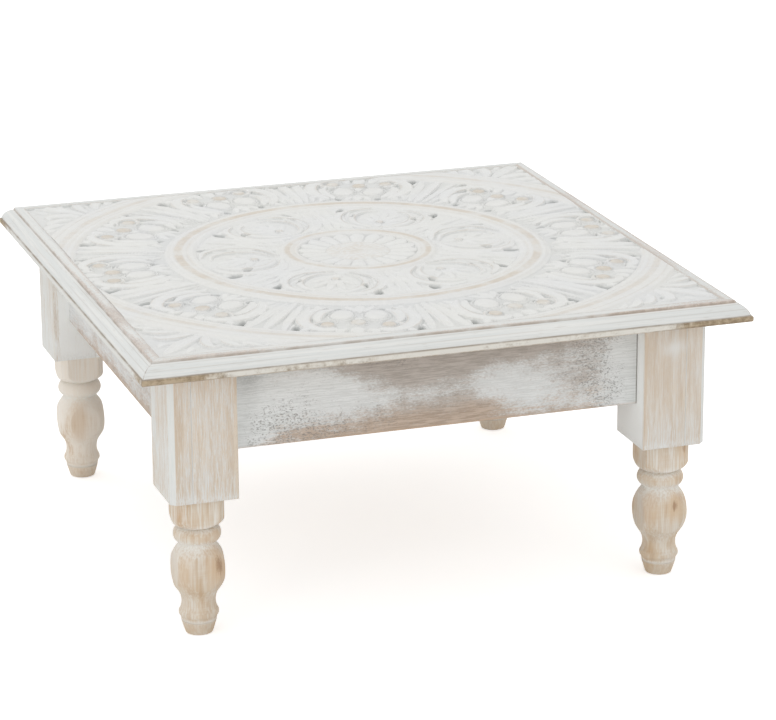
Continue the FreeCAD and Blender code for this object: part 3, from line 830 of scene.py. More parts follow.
def carved_finish():
    """Whitewash over carving, rubbed to pale wood on rings, berries and ridges, with painted shade
    in its hollows and creases.
    """
    finish = Finish("carved_whitewash")
    colours = finish.colours
    place = finish.place()
    z = finish.split(place)[2]
    worn = finish.attribute("worn")
    hollow_shade = finish.attribute("hollow_shade")
    patches = finish.cloud(place, 14.0, 4.0, 0.6)
    uneven = finish.cloud(place, 24.0, 6.0, 0.65)
    mottle = finish.cloud(place, 110.0, 4.0, 0.7)
    fine = finish.cloud(place, 420.0, 3.0, 0.6)
    fibres = grain(finish, place, "y", 0.3, "fibres")[0]
    # The last coat is painted shade, grey in the hollows and creases of the carving
    coat = finish.layers(
        colours.wash,
        (patches.ramp(0.35, 0.7), CARVING_EVEN),
        (mottle.ramp(0.5, 0.68) * 0.35, CARVING_BRIGHT),
        (mottle.ramp(0.44, 0.3) * 0.3, CARVING_DULL),
        (hollow_shade, CARVING_PAINTED_SHADE))
    cover = uneven.ramp(0.38, 0.58) * 0.65 + mottle.ramp(0.4, 0.6) * 0.35
    rubbed = (worn * (cover * 0.85 + 0.15)).kept_within_one()
    ring_wood = finish.blend(mottle.ramp(0.35, 0.65), RING_DARK, RING_PALE)
    specks = fine.ramp(0.66, 0.74) * uneven.ramp(0.42, 0.6)
    under = z.ramp(UNDERSIDE + 0.002, UNDERSIDE + 0.0005)
    bare = finish.blend(fibres.ramp(0.3, 0.7), colours.joinery_wood, colours.pale_wood)
    colour = finish.layers(
        coat, (rubbed, ring_wood), (specks * 0.35, colours.pale_wood), (under, bare))
    roughness = 0.62 + fine * 0.14 - rubbed * 0.06
    bump = finish.relief(fine * 0.6 + mottle + fibres * 0.5 + worn * fine, 0.0004, 0.6)
    return finish.close(colour, roughness, bump, Specular_IOR_Level=0.35)


# Marks on the moulding, in metres: places across it from the table's middle, and levels. A pair
# is where a mark starts to show and where it shows fully, a slope line its place and strength
END_ZONE = (HALF_TOP - 0.030, HALF_TOP - 0.020)
SLOPE_LINES = ((HALF_TOP - 0.0100, 0.5), (HALF_TOP - 0.0050, 0.4))
SLOPE_LEVEL = (TOP_LEVEL - 0.0125, TOP_LEVEL - 0.0115)
NOSE_PLACE = (HALF_TOP - 0.0020, HALF_TOP - 0.0014)
NOSE_LEVEL = (UNDERSIDE + 0.0067, UNDERSIDE + 0.0057)
NOSE_LOW_EDGE = (UNDERSIDE + 0.0019, UNDERSIDE + 0.0006)
CREASE_LEVEL = UNDERSIDE + 0.0061
CREASE_PLACE = (HALF_TOP - 0.0030, HALF_TOP - 0.0020)
RISER_LEVEL = (TOP_LEVEL - 0.0031, TOP_LEVEL - 0.0025)
RISER_PLACE = HALF_TOP - 0.0134
RISER_FOOT = HALF_TOP - 0.0130
LIP_LEVEL = (TOP_LEVEL - 0.0014, TOP_LEVEL - 0.0005)
LIP_MIDDLE = HALF_TOP - 0.0185
LIP_ARRIS = HALF_TOP - 0.0228
MITRE_OPEN = (HALF_TOP - 0.016, HALF_TOP - 0.004)

SLOPE_THIN = (0.73, 0.745, 0.73)
SLOPE_DULL = (0.68, 0.67, 0.63)
SLOPE_PORE = (0.55, 0.50, 0.44)
SLOPE_LINE = (0.50, 0.46, 0.41)
NOSE_DARK = (0.27, 0.20, 0.125)
NOSE_BROWN = (0.50, 0.40, 0.275)
NOSE_WASH = (0.79, 0.77, 0.71)
NOSE_WASH_LEFT = (0.78, 0.785, 0.76)
# Brown of the nose's low edge, partly wear and partly painted shade
NOSE_EDGE_WEAR_AND_SHADE = (0.40, 0.32, 0.235)
CREASE_BROWN = (0.36, 0.30, 0.24)
RISER_DARK = (0.44, 0.35, 0.29)
RISER_PALE = (0.66, 0.56, 0.47)
RISER_LINE = (0.40, 0.33, 0.27)
LIP_DARK = (0.50, 0.41, 0.36)
LIP_PALE = (0.66, 0.59, 0.53)
LIP_ARRIS_BROWN = (0.58, 0.53, 0.48)
MITRE_BROWN = (0.31, 0.25, 0.19)


def moulding_patterns(finish):
    """Places and patterns that the parts of the moulding share."""
    place = finish.place()
    x, y, z = finish.split(place)
    across_x, across_y = abs(x), abs(y)
    sideways = (across_x - across_y).ramp(-0.0002, 0.0002)
    front = y.ramp(-END_ZONE[0], -END_ZONE[1]) * (1 - sideways)
    left = x.ramp(-END_ZONE[0], -END_ZONE[1]) * sideways
    right = x.ramp(*END_ZONE) * sideways
    fibres, figure, pores = [
        lengthwise * (1 - sideways) + crosswise * sideways for lengthwise, crosswise in zip(
            grain(finish, place, "x", 0.1, *GRAIN_LAYERS),
            grain(finish, place, "y", 0.6, *GRAIN_LAYERS))]
    return SimpleNamespace(
        x=x, y=y, z=z, across_x=across_x, across_y=across_y,
        outwards=across_x.most(across_y), front=front, left=left, right=right,
        fibres=fibres, figure=figure, pores=pores,
        broad=finish.cloud(place, 6.5, 3.0, 0.55), blots=finish.cloud(place, 38.0, 4.0, 0.6),
        chips=finish.cloud(place, 150.0, 4.0, 0.7), fine=finish.cloud(place, 600.0, 2.0, 0.5))


def slope_coat(finish, wood):
    """White brushed over the slope, thin along the grain, with two faint lines."""
    coat = finish.layers(
        SLOPE_THIN,
        (wood.fibres.ramp(0.42, 0.62), finish.colours.wash),
        (wood.figure.ramp(0.52, 0.7) * 0.45, SLOPE_DULL),
        (wood.pores.ramp(0.60, 0.72) * 0.3, SLOPE_PORE))
    wander = (wood.figure - 0.5) * 0.0006
    for line, strength in SLOPE_LINES:
        shade = (wood.outwards + wander).mark(line, 0.0003) * strength
        shade = shade * wood.broad.ramp(0.38, 0.58) * wood.z.ramp(*SLOPE_LEVEL)
        coat = finish.blend(shade, coat, SLOPE_LINE)
    return coat


def nose_coat(finish, wood):
    """Wash left on the brown nose, less of it near the corners and more at the left, with a dark
    low edge that is partly wear and partly painted shade.
    """
    corner = wood.across_x.least(wood.across_y).ramp(0.20, 0.29) * (1 - wood.left * 0.2)
    kept = wood.blots * 0.5 + wood.broad * 0.5 + wood.chips * 0.5 - corner * 0.55 + wood.left * 0.24
    brown = (wood.fibres * 0.4 + wood.chips * 0.6).ramp(0.42, 0.60)
    # Dark line along the nose's low edge: partly wear, partly painted shade
    low_edge_wear_and_shade = wood.z.ramp(*NOSE_LOW_EDGE) * (0.25 + wood.chips.ramp(0.38, 0.6) * 0.6)
    return finish.layers(
        NOSE_DARK,
        (brown, NOSE_BROWN),
        (kept.ramp(0.52, 0.80) * 0.9, finish.blend(wood.left, NOSE_WASH, NOSE_WASH_LEFT)),
        (low_edge_wear_and_shade, NOSE_EDGE_WEAR_AND_SHADE))


def lip_wear(wood):
    """Where the flat lip is rubbed: along its edges and towards the near ends."""
    wear = wood.broad * 0.5 + wood.figure * 0.7 + wood.chips * 0.4 + wood.fibres * 0.5
    left_side = wood.left * wood.y.ramp(0.22, -0.1) * 0.11
    right_side = wood.right * wood.y.ramp(-0.29, -0.1) * 0.14
    front_end = wood.x.ramp(0.12, 0.29) * wood.front * 0.12
    edges = (1 - wood.outwards.mark(LIP_MIDDLE, 0.0035)) * 0.14
    ends = left_side + right_side + front_end
    return (wear + ends + edges + (wood.fine - 0.5) * 0.4).ramp(1.17, 1.36)


def moulding_finish():
    """Brushed white slope, worn brown nose and riser, a nose low edge darkened partly by wear and
    partly by painted shade, dark line in the mitres.
    """
    finish = Finish("moulding_whitewash")
    wood = moulding_patterns(finish)
    chipped = wood.chips.ramp(0.4, 0.6)
    nose = wood.outwards.ramp(*NOSE_PLACE) * wood.z.ramp(*NOSE_LEVEL)
    crease = wood.z.mark(CREASE_LEVEL, 0.0006) * wood.outwards.ramp(*CREASE_PLACE)
    crease = crease * (0.35 + wood.blots.ramp(0.3, 0.6) * 0.55)
    riser_high = wood.z.ramp(*RISER_LEVEL)
    spread = wood.broad * 1.2 + wood.blots * 0.6 + wood.chips * 0.3
    spread = spread + wood.x.ramp(0.0, 0.3) * wood.front * 0.4
    riser = wood.outwards.mark(RISER_PLACE, 0.0011) * riser_high
    riser = riser * (0.1 + 0.9 * spread.ramp(1.0, 1.4))
    riser_line = wood.outwards.mark(RISER_FOOT, 0.0006) * riser_high
    lip = wood.z.ramp(*LIP_LEVEL)
    lip_arris = wood.outwards.mark(LIP_ARRIS, 0.0009) * lip
    mitre_open = wood.chips.ramp(0.40, 0.52) * wood.outwards.ramp(*MITRE_OPEN)
    mitre = (wood.across_x - wood.across_y).mark(0.0, 0.0005) * (0.2 + 0.8 * mitre_open)
    under = wood.z.ramp(UNDERSIDE + 0.0004, UNDERSIDE + 0.0001)
    colour = finish.layers(
        slope_coat(finish, wood),
        (nose, nose_coat(finish, wood)),
        (crease, CREASE_BROWN),
        (riser * 0.8, finish.blend(chipped, RISER_DARK, RISER_PALE)),
        (riser_line * (0.35 + 0.35 * wood.blots.ramp(0.4, 0.6)), RISER_LINE),
        (lip * lip_wear(wood) * 0.75, finish.blend(chipped, LIP_DARK, LIP_PALE)),
        (lip_arris * (0.3 + 0.5 * chipped), LIP_ARRIS_BROWN),
        (mitre * 0.85, MITRE_BROWN),
        (under * 0.6, finish.colours.pale_wood))
    rough = wood.fibres * 0.8 + wood.fine * 0.3 + wood.chips * 0.6
    bump = finish.relief(rough - wood.pores.ramp(0.66, 0.8), 0.0003, 0.6)
    return finish.close(colour, 0.58 + wood.fibres * 0.12, bump, Specular_IOR_Level=0.35)


# A patch is (place along, place up, half length, half height, strength), in shares of the face
BLOCK_SMUDGE = ((-0.05, 0.78, 0.32, 0.06, 0.8),)
FRONT_PATCHES = (
    (0.60, 0.98, 0.36, 0.27, 1.75), (0.38, 0.86, 0.12, 0.24, 0.8), (0.48, 0.74, 0.13, 0.22, 0.7),
    (0.60, 0.78, 0.22, 0.18, 0.8), (0.45, 0.60, 0.14, 0.30, 0.65), (0.46, 0.06, 0.26, 0.22, 1.15),
    (0.58, 0.20, 0.14, 0.28, 0.75), (0.80, 0.46, 0.13, 0.20, 0.35), (0.89, 0.36, 0.07, 0.24, 0.4),
    (0.24, 0.90, 0.08, 0.14, 0.6), (0.60, -0.06, 0.60, 0.08, 1.0), (0.18, 0.10, 0.12, 0.12, 0.6),
    (0.12, 0.70, 0.05, 0.30, 0.3),
)
FRONT_CLEAN = (
    (0.68, 0.36, 0.09, 0.26, 0.85), (0.17, 0.60, 0.09, 0.26, 0.75), (0.30, 0.42, 0.08, 0.22, 0.5),
    (0.97, 0.5, 0.04, 0.6, 1.0), (0.025, 0.3, 0.045, 0.6, 1.1), (0.48, 0.40, 0.05, 0.14, 0.4),
)
FRONT_SPECKLED = (
    (0.10, 0.22, 0.09, 0.34, 1.0), (0.22, 0.10, 0.16, 0.16, 0.8), (0.92, 0.30, 0.05, 0.40, 1.1),
    (0.86, 0.50, 0.09, 0.34, 0.8), (0.38, 0.88, 0.10, 0.14, 1.0), (0.35, 0.3, 0.25, 0.3, 0.4),
    (0.88, 0.85, 0.08, 0.16, 0.8), (0.22, 0.80, 0.05, 0.20, 0.6),
)
FRONT_WEAR = (FRONT_PATCHES, FRONT_CLEAN, FRONT_SPECKLED)
OTHER_WEAR = (
    ((0.30, 0.30, 0.30, 0.30, 0.5), (0.78, 0.60, 0.25, 0.45, 0.45), (0.5, 0.02, 0.6, 0.08, 0.9),
     (0.5, 1.0, 0.5, 0.14, 0.5)),
    ((0.5, 0.6, 0.12, 0.3, 0.3), (0.98, 0.5, 0.05, 0.6, 0.5)),
    ((0.15, 0.2, 0.12, 0.3, 0.5), (0.85, 0.3, 0.1, 0.4, 0.4)),
)
APRON_SMUDGE = ((0.045, 0.86, 0.045, 0.22, 0.75),)
RUBBED_EDGE = ((0.5, 0.0, 0.3, 0.5, 1.0),)


def patchwork(run, rise, patches):
    """Sum of soft oval patches over a face."""
    total = 0.0
    for place_along, place_up, half_length, half_height, strength in patches:
        across = (run - place_along) / half_length
        up = (rise - place_up) / half_height
        total = total + (across * across + up * up).fading() * strength
    return total


def block_box(corner_name):
    """Box of a whole leg block, core and facing together."""
    boxes = [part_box(f"{part}_{corner_name}") for part in ("leg_core", "leg_facing")]
    low = Vector(min(a, b) for a, b in zip(boxes[0][0], boxes[1][0]))
    high = Vector(max(a, b) for a, b in zip(boxes[0][1], boxes[1][1]))
    return low, high


# How far the wash covers a block's front and back, and its sides, and how streaky it is
BLOCK_COVER = {
    "front_left": (0.36, 0.64, 2.1),
    "front_right": (0.40, 0.72, 1.0),
    "back_right": (0.50, 0.68, 1.4),
    "back_left": (0.56, 0.76, 1.4),
}

# Where a block's inner faces start and show fully, in shares of its half width
INNER_EDGE = (-0.97, -0.99)

BLOCK_DARK = (0.645, 0.535, 0.42)
BLOCK_TICK = (0.52, 0.40, 0.28)
BLOCK_THIN = (0.69, 0.665, 0.625)
BLOCK_WASH = (0.76, 0.75, 0.72)
BLOCK_SIDE_THIN = (0.73, 0.73, 0.70)
BLOCK_SIDE_WASH = (0.79, 0.80, 0.78)
# Near white of the inner faces: whiter wash, partly painted light that lifts their shade under the
# top
BLOCK_INNER_WASH_AND_LIGHT = (0.935, 0.95, 0.935)
BLOCK_ARRIS = (0.66, 0.53, 0.39)
BLOCK_INNER_ARRIS = (0.60, 0.45, 0.31)
CHAMFER_THIN = (0.75, 0.77, 0.745)


def block_finish(corner_name):
    """Thin limewash over upright grain, whiter on the sides, white on the chamfer, near white on
    the inner faces where part of the white is painted light.
    """
    finish = Finish(f"leg_block_limewash_{corner_name}")
    wash = finish.colours.wash
    low, high = block_box(corner_name)
    middle = (low + high) / 2
    half = (high - low) / 2
    outer_x, outer_y = CORNERS[corner_name]
    front_cover, side_cover, streaky = BLOCK_COVER[corner_name]
    place = finish.place()
    x, y, z = finish.split(place)
    facing = finish.split(finish.node("ShaderNodeNewGeometry", {}, output="Normal"))
    seed = 0.13 + list(CORNERS).index(corner_name) * 0.29
    shifted = finish.moved(place, (seed, seed * 0.7, seed * 1.3))
    streaks = finish.streaks(shifted, "z", 60, 1500, 3.0, 0.65)
    ribbons = finish.streaks(shifted, "z", 11, 190)
    blots = finish.streaks(shifted, "z", 16, 38)
    ticks = finish.streaks(shifted, "z", 260, 1500, 2.0)
    fine = finish.cloud(place, 700.0, 2.0, 0.5)

    side_face = abs(facing[0]).ramp(0.5, 0.9)
    front_face = 1 - side_face
    slanted = abs(facing[0]).least(abs(facing[1])).ramp(0.4, 0.6)
    along_x = (x - middle.x) * (outer_x / half.x)
    along_y = (y - middle.y) * (outer_y / half.y)
    inner_x = along_x.ramp(*INNER_EDGE)
    inward = (inner_x * side_face).most(along_y.ramp(*INNER_EDGE) * front_face)

    end_x = along_x.ramp(0.74, 0.90) + along_x.ramp(-0.84, -0.96)
    bare_edge = end_x * front_face * (0.12 + streaky * 0.18)
    low_end = z.ramp(low.z + 0.045, low.z) * streaks.ramp(0.44, 0.56) * front_face
    # The inner faces get fuller cover, part of their painted light
    cover = front_cover + side_face * (side_cover - front_cover) + low_end * 0.35 + inward * 0.45
    cover = cover + (streaks - 0.5) * streaky + (ribbons - 0.5) * 0.7 - bare_edge
    cover = cover + (blots - 0.5) * (streaky * 0.75) + (ticks - 0.5) * (streaky * 0.6)
    wood = finish.layers(
        BLOCK_DARK,
        (ribbons.ramp(0.38, 0.62), finish.colours.block_wood),
        (ticks.ramp(0.56, 0.68) * (streaky * 0.26), BLOCK_TICK))
    streaked = streaks.ramp(0.42, 0.6)
    # The inner faces take a near-white coat, partly painted light that lifts the shade under the
    # top
    coat = finish.layers(
        finish.blend(streaked, BLOCK_THIN, BLOCK_WASH),
        (side_face, finish.blend(streaked, BLOCK_SIDE_THIN, BLOCK_SIDE_WASH)),
        (inward, BLOCK_INNER_WASH_AND_LIGHT))

    arris = abs(y - middle.y).ramp(half.y - 0.0022, half.y - 0.0006) * side_face
    chamfer = finish.blend(streaks.ramp(0.4, 0.62), CHAMFER_THIN, wash)
    facing_low, facing_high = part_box(f"leg_facing_{corner_name}")
    joint = facing_low.x if abs(facing_low.x - middle.x) < half.x * 0.9 else facing_high.x
    glue = (x + (blots - 0.5) * 0.0012).mark(joint, 0.0007)
    foot_end = z.ramp(low.z + 0.011, low.z + 0.001) * ticks.ramp(0.42, 0.58)
    colour = finish.layers(
        wood,
        (cover.ramp(0.02, 0.98), coat),
        (arris * 0.5, BLOCK_ARRIS),
        (inner_x * front_face * 0.4, BLOCK_INNER_ARRIS),
        (slanted, chamfer),
        (glue * blots.ramp(0.38, 0.55) * 0.55, wash),
        (foot_end * 0.7, wash))
    if corner_name == "front_right":
        smudge = patchwork(along_x, (z - low.z) / (high.z - low.z), BLOCK_SMUDGE)
        colour = finish.blend(smudge * blots.ramp(0.35, 0.55) * front_face, colour, wash)
    bump = finish.relief(streaks * 0.7 + ticks * 0.8 + fine * 0.25, 0.0004, 0.7)
    return finish.close(colour, 0.6 + streaks * 0.12, bump, Specular_IOR_Level=0.3)


APRON_DARK = (0.385, 0.34, 0.30)
APRON_LOW_DARK = (0.41, 0.29, 0.20)
APRON_LOW_BROWN = (0.57, 0.43, 0.32)
APRON_THIN = (0.68, 0.69, 0.675)
APRON_WASH = (0.80, 0.81, 0.80)
APRON_DULL = (0.66, 0.655, 0.64)
APRON_SPECK = (0.26, 0.245, 0.23)
APRON_GREY = (0.36, 0.375, 0.37)
APRON_END = (0.80, 0.79, 0.77)
APRON_JOINT = (0.22, 0.20, 0.18)
APRON_ARRIS = (0.54, 0.40, 0.29)


def apron_finish(side):
    """Brushed grey-white wash over pinkish brown wood, speckled near the ends."""
    finish = Finish(f"apron_whitewash_{side}")
    low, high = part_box(f"apron_{side}")
    place = finish.place()
    x, y, z = finish.split(place)
    along, position, half_run = ("x", x, high.x) if side in ("front", "back") else ("y", y, high.y)
    patches, clean, speckled = FRONT_WEAR if side == "front" else OTHER_WEAR
    seed = 0.17 + SIDES.index(side) * 0.41
    shifted = finish.moved(place, (seed, seed, seed))
    wander = finish.streaks(shifted, along, 9, 22)
    brush = finish.streaks(shifted, along, 24, 320, 4.0, 0.7)
    dashes = finish.streaks(shifted, along, 60, 1000, 3.0, 0.7)
    grit = finish.streaks(shifted, along, 420, 900, 2.0)
    specks = finish.streaks(shifted, along, 560, 900, 2.0)
    mottle = finish.cloud(finish.moved(place, (seed, 0, 0)), 85.0, 4.0, 0.68)
    sway = finish.cloud(finish.moved(place, (seed * 3, seed, seed)), 20.0, 3.0, 0.6)
    run = (position / half_run + 1) * 0.5 + (wander - 0.5) * 0.12
    rise = (z - low.z) / (high.z - low.z) + (sway - 0.5) * 0.28

    rubbed = patchwork(run, rise, patches) - patchwork(run, rise, clean)
    rubbed = rubbed + (brush - 0.5) * 1.2 + (dashes - 0.5) * 1.9 + (mottle - 0.5) * 1.1 - 0.06
    rubbed = (rubbed + (grit - 0.5) * 1.6 + (wander - 0.5) * 0.5).ramp(-0.15, 1.15)
    wood = finish.layers(
        APRON_DARK,
        (dashes.ramp(0.38, 0.62), finish.colours.apron_wood),
        (rise.ramp(0.42, 0.08) * 0.75,
         finish.blend(dashes.ramp(0.4, 0.6), APRON_LOW_DARK, APRON_LOW_BROWN)))
    where = (patchwork(run, rise, speckled) + (mottle - 0.5) * 2.0).ramp(0.1, 1.2)
    if side == "front":
        where = where * x.ramp(low.x + 0.006, low.x + 0.018)
    spots = (specks + where * 0.04).ramp(0.575, 0.665) * where
    colour = finish.layers(
        APRON_THIN,
        (dashes.ramp(0.38, 0.60), APRON_WASH),
        (wander.ramp(0.45, 0.7) * 0.3, APRON_DULL),
        (rubbed * 0.95, wood),
        (spots * 0.7, APRON_SPECK))
    if side == "front":
        smudge = patchwork(run, rise, APRON_SMUDGE) * (grit.ramp(0.35, 0.6) * 0.6 + 0.4)
        colour = finish.layers(
            colour,
            (smudge, APRON_GREY),
            (x.ramp(low.x + 0.0035, low.x + 0.0020) * 0.75, APRON_END),
            (x.ramp(high.x - 0.0016, high.x - 0.0006) * 0.85, APRON_JOINT))
    arris = z.ramp(low.z + 0.0028, low.z + 0.0008) * (0.3 + 0.7 * patchwork(run, rise, RUBBED_EDGE))
    colour = finish.blend(arris * 0.8, colour, APRON_ARRIS)
    bump = finish.relief(dashes * 0.8 + brush * 0.5 - spots * 0.8, 0.0004, 0.65)
    return finish.close(colour, 0.62 + brush * 0.12, bump, Specular_IOR_Level=0.3)


# Levels on a foot, in metres: the two necks round the ankle, the shoulder of the bulb below
# them, the line above the toe and the collar
FOOT_NECKS = (0.0915, 0.1085)
FOOT_SHOULDER = 0.088
TOE_LINE = 0.0135
TOE_FADE = (0.022, 0.006)
COLLAR_LEVEL = (0.104, 0.118)
FOOT_DARK = (0.62, 0.47, 0.32)
FOOT_BLOT = (0.58, 0.39, 0.23)
FOOT_THIN = (0.70, 0.615, 0.515)
# Whiter wash of the back left foot, partly painted light that lifts its shade under the top
BACK_LEFT_WASH_AND_LIGHT = (0.90, 0.835, 0.745)
NECK_WASH = (0.86, 0.845, 0.80)
COLLAR_WASH = (0.84, 0.82, 0.78)
TOE_LINE_WASH = (0.84, 0.83, 0.79)
TOE_WOOD = (0.62, 0.48, 0.33)
KNOT_FLUSH = (0.68, 0.50, 0.33)
KNOT_HEART = (0.44, 0.285, 0.18)
KNOT_FLATTENING = 0.45

# How whole the wash on each foot is
FOOT_COVER = {"front_left": 0.54, "front_right": 0.40, "back_right": 0.54, "back_left": 0.95}

# A knot is (its place from the foot's axis, its level, its size) in metres, how dark its heart
# is and how strong the flush of bare wood round it
KNOTS = {
    "front_left": (
        (0.0160, -0.0220, 0.0730, 0.0056, 0.9, 0.7), (0.0159, -0.0193, 0.1030, 0.0028, 0.7, 0.5),
        (-0.0183, -0.0202, 0.0660, 0.0040, 0.0, 0.4)),
    "front_right": (
        (0.0064, -0.0225, 0.0745, 0.0032, 0.95, 0.6), (0.0150, -0.0225, 0.1330, 0.0024, 0.6, 0.4),
        (-0.0190, -0.0190, 0.0740, 0.0042, 0.0, 0.5)),
    "back_right": ((0.0200, -0.0170, 0.0600, 0.0026, 0.6, 0.4),),
    "back_left": ((-0.0075, -0.0225, 0.0660, 0.0046, 0.0, 0.5),),
}


def foot_finish(corner_name):
    """Cream limewash over turned wood, with tan blotches, knots and lathe marks."""
    finish = Finish(f"turned_foot_limewash_{corner_name}")
    number = list(CORNERS).index(corner_name)
    place = finish.place()
    z = finish.split(place)[2]
    seed = 0.4 + number * 0.37
    shifted = finish.moved(place, (seed, seed * 0.7, seed * 1.3))
    fibres = finish.streaks(shifted, "z", 26, 560, 4.0, 0.65)
    figure = finish.streaks(shifted, "z", 9, 90)
    elsewhere = finish.moved(place, (number * 0.31, 0.2, 0.1))
    blots = finish.streaks(elsewhere, "z", 15, 27, 3.0, 0.55, 0.3)
    turned = finish.streaks(place, "z", 900, 6, 2.0, 0.5)
    fine = finish.cloud(place, 700.0, 2.0, 0.5)

    necks = z.mark(FOOT_NECKS[0], 0.004) + z.mark(FOOT_NECKS[1], 0.004)
    necks = necks + z.mark(FOOT_SHOULDER, 0.010) * 0.6 + z.mark(TOE_LINE + MM, 0.0015)
    collar = z.ramp(*COLLAR_LEVEL)
    cover = (blots - 0.5) * -2.6 + (fibres - 0.5) * 1.4 + (figure - 0.5) * 1.1
    cover = cover + (turned - 0.5) * 0.45 + FOOT_COVER[corner_name] + necks * 0.5 + collar * 0.12
    wood = finish.layers(
        FOOT_DARK,
        (figure.ramp(0.38, 0.62), finish.colours.foot_wood),
        (blots.ramp(0.52, 0.68) * 0.7, FOOT_BLOT))
    coat = finish.blend(fibres.ramp(0.4, 0.62), FOOT_THIN, finish.colours.foot_wash)
    # The back left foot is whiter: paler wash and partly painted light
    if corner_name == "back_left":
        coat = finish.blend(0.75, coat, BACK_LEFT_WASH_AND_LIGHT)
    colour = finish.layers(
        wood,
        (cover.ramp(0.0, 1.05), coat),
        (necks * (fibres.ramp(0.35, 0.6) * 0.4 + 0.25), NECK_WASH),
        (collar * fibres.ramp(0.5, 0.62) * 0.35, COLLAR_WASH))
    low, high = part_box(f"turned_foot_{corner_name}")
    axis = (low + high) / 2
    squashed = finish.moved(place, scale=(1, 1, KNOT_FLATTENING))
    for knot_x, knot_y, knot_z, size, dark, flush in KNOTS[corner_name]:
        heart = Vector((axis.x + knot_x, axis.y + knot_y, knot_z * KNOT_FLATTENING))
        away = finish.node(
            "ShaderNodeVectorMath", {"operation": "DISTANCE"}, squashed, heart, output="Value")
        away = away + (fine - 0.5) * size * 0.5 + (fibres - 0.5) * size * 1.6
        colour = finish.layers(
            colour,
            (away.ramp(size * 3.4, size * 0.8) * flush, KNOT_FLUSH),
            (away.ramp(size, size * 0.3) * dark, KNOT_HEART))
    colour = finish.layers(
        colour,
        (z.mark(TOE_LINE, 0.0008) * 0.8, TOE_LINE_WASH),
        (z.ramp(*TOE_FADE) * 0.4, TOE_WOOD))
    bump = finish.relief(turned * 0.5 + fibres * 0.7 + fine * 0.2, 0.0003, 0.6)
    return finish.close(colour, 0.58 + fibres * 0.12, bump, Specular_IOR_Level=0.32)


JOINERY_DARK = (0.40, 0.27, 0.16)
ZINC_DULL = (0.42, 0.42, 0.41)
ZINC_BRIGHT = (0.62, 0.61, 0.58)


def joinery_finish():
    """Bare sawn wood of the cleats and dowels."""
    finish = Finish("joinery_bare_wood")
    colours = finish.colours
    place = finish.place()
    fibres, figure = grain(finish, place, "x", 0.9, "fibres", "figure")
    saw = finish.streaks(place, "z", 500, 40, 2.0, 0.5)
    colour = finish.layers(
        colours.joinery_wood,
        (fibres.ramp(0.3, 0.7), colours.pale_wood),
        (figure.ramp(0.55, 0.75) * 0.5, JOINERY_DARK))
    bump = finish.relief(fibres + saw * 0.7, 0.0003, 0.6)
    return finish.close(colour, 0.7 + fibres * 0.1, bump, Specular_IOR_Level=0.25)


def screw_finish():
    """Zinc plated steel, slightly dulled."""
    finish = Finish("screw_zinc")
    dull = finish.cloud(finish.place(), 900.0, 3.0, 0.6)
    colour = finish.blend(dull.ramp(0.3, 0.7), ZINC_DULL, ZINC_BRIGHT)
    bump = finish.relief(dull, 0.0001, 0.4)
    return finish.close(colour, 0.32 + dull * 0.2, bump, Metallic=1.0)


# Turned foot, in millimetres

# A corner of the section is (radius, level), or (radius, level, curve radius, side) where an
# arc leads to it, with side 1 for a hollow and -1 for a bulge
FOOT_PROFILE = (
    (11.1, 0), (13.6, 2.5, 2.5, -1), (16.8, 13), (16.1, 13), (16.1, 14), (16.8, 14),
    (17.3, 17.5), (18.4, 18.6, 2, -1), (19, 20.4, 2.6, -1), (19, 22), (18.2, 23.6, 2, -1),
    (20, 44, 20, 1), (27.4, 65, 33.5, -1), (16.6, 90.4, 35.5, -1), (16.6, 91.4),
    (16.6, 107.6, 8.4, -1), (16.6, 108.8), (27.8, 119.8, 11.2, -1), (27.8, 139.5),
)
ARC_RUN = 1.6
RADIUS_SLACK = 1e-6
MERGE_DISTANCE = 0.01


def profile_points(profile):
    """Points along the half section, arcs divided into short runs."""
    points = [Vector(profile[0][:2])]
    for corner in profile[1:]:
        start = points[-1]
        end = Vector(corner[:2])
        if len(corner) > 2:
            radius, side = corner[2:]
            chord = end - start
            left = Vector((-chord.y, chord.x)).normalized()
            radius = max(radius, chord.length / 2 + RADIUS_SLACK)
            drop = math.sqrt(radius ** 2 - (chord.length / 2) ** 2)
            centre = (start + end) / 2 - left * drop * side
            first = start - centre
            turn = first.angle_signed(end - centre)
            steps = max(2, round(abs(turn) * radius / ARC_RUN))
            for step in range(1, steps):
                spun = first.copy()
                spun.rotate(Matrix.Rotation(-turn * step / steps, 2))
                points.append(centre + spun)
        points.append(end)
    return points


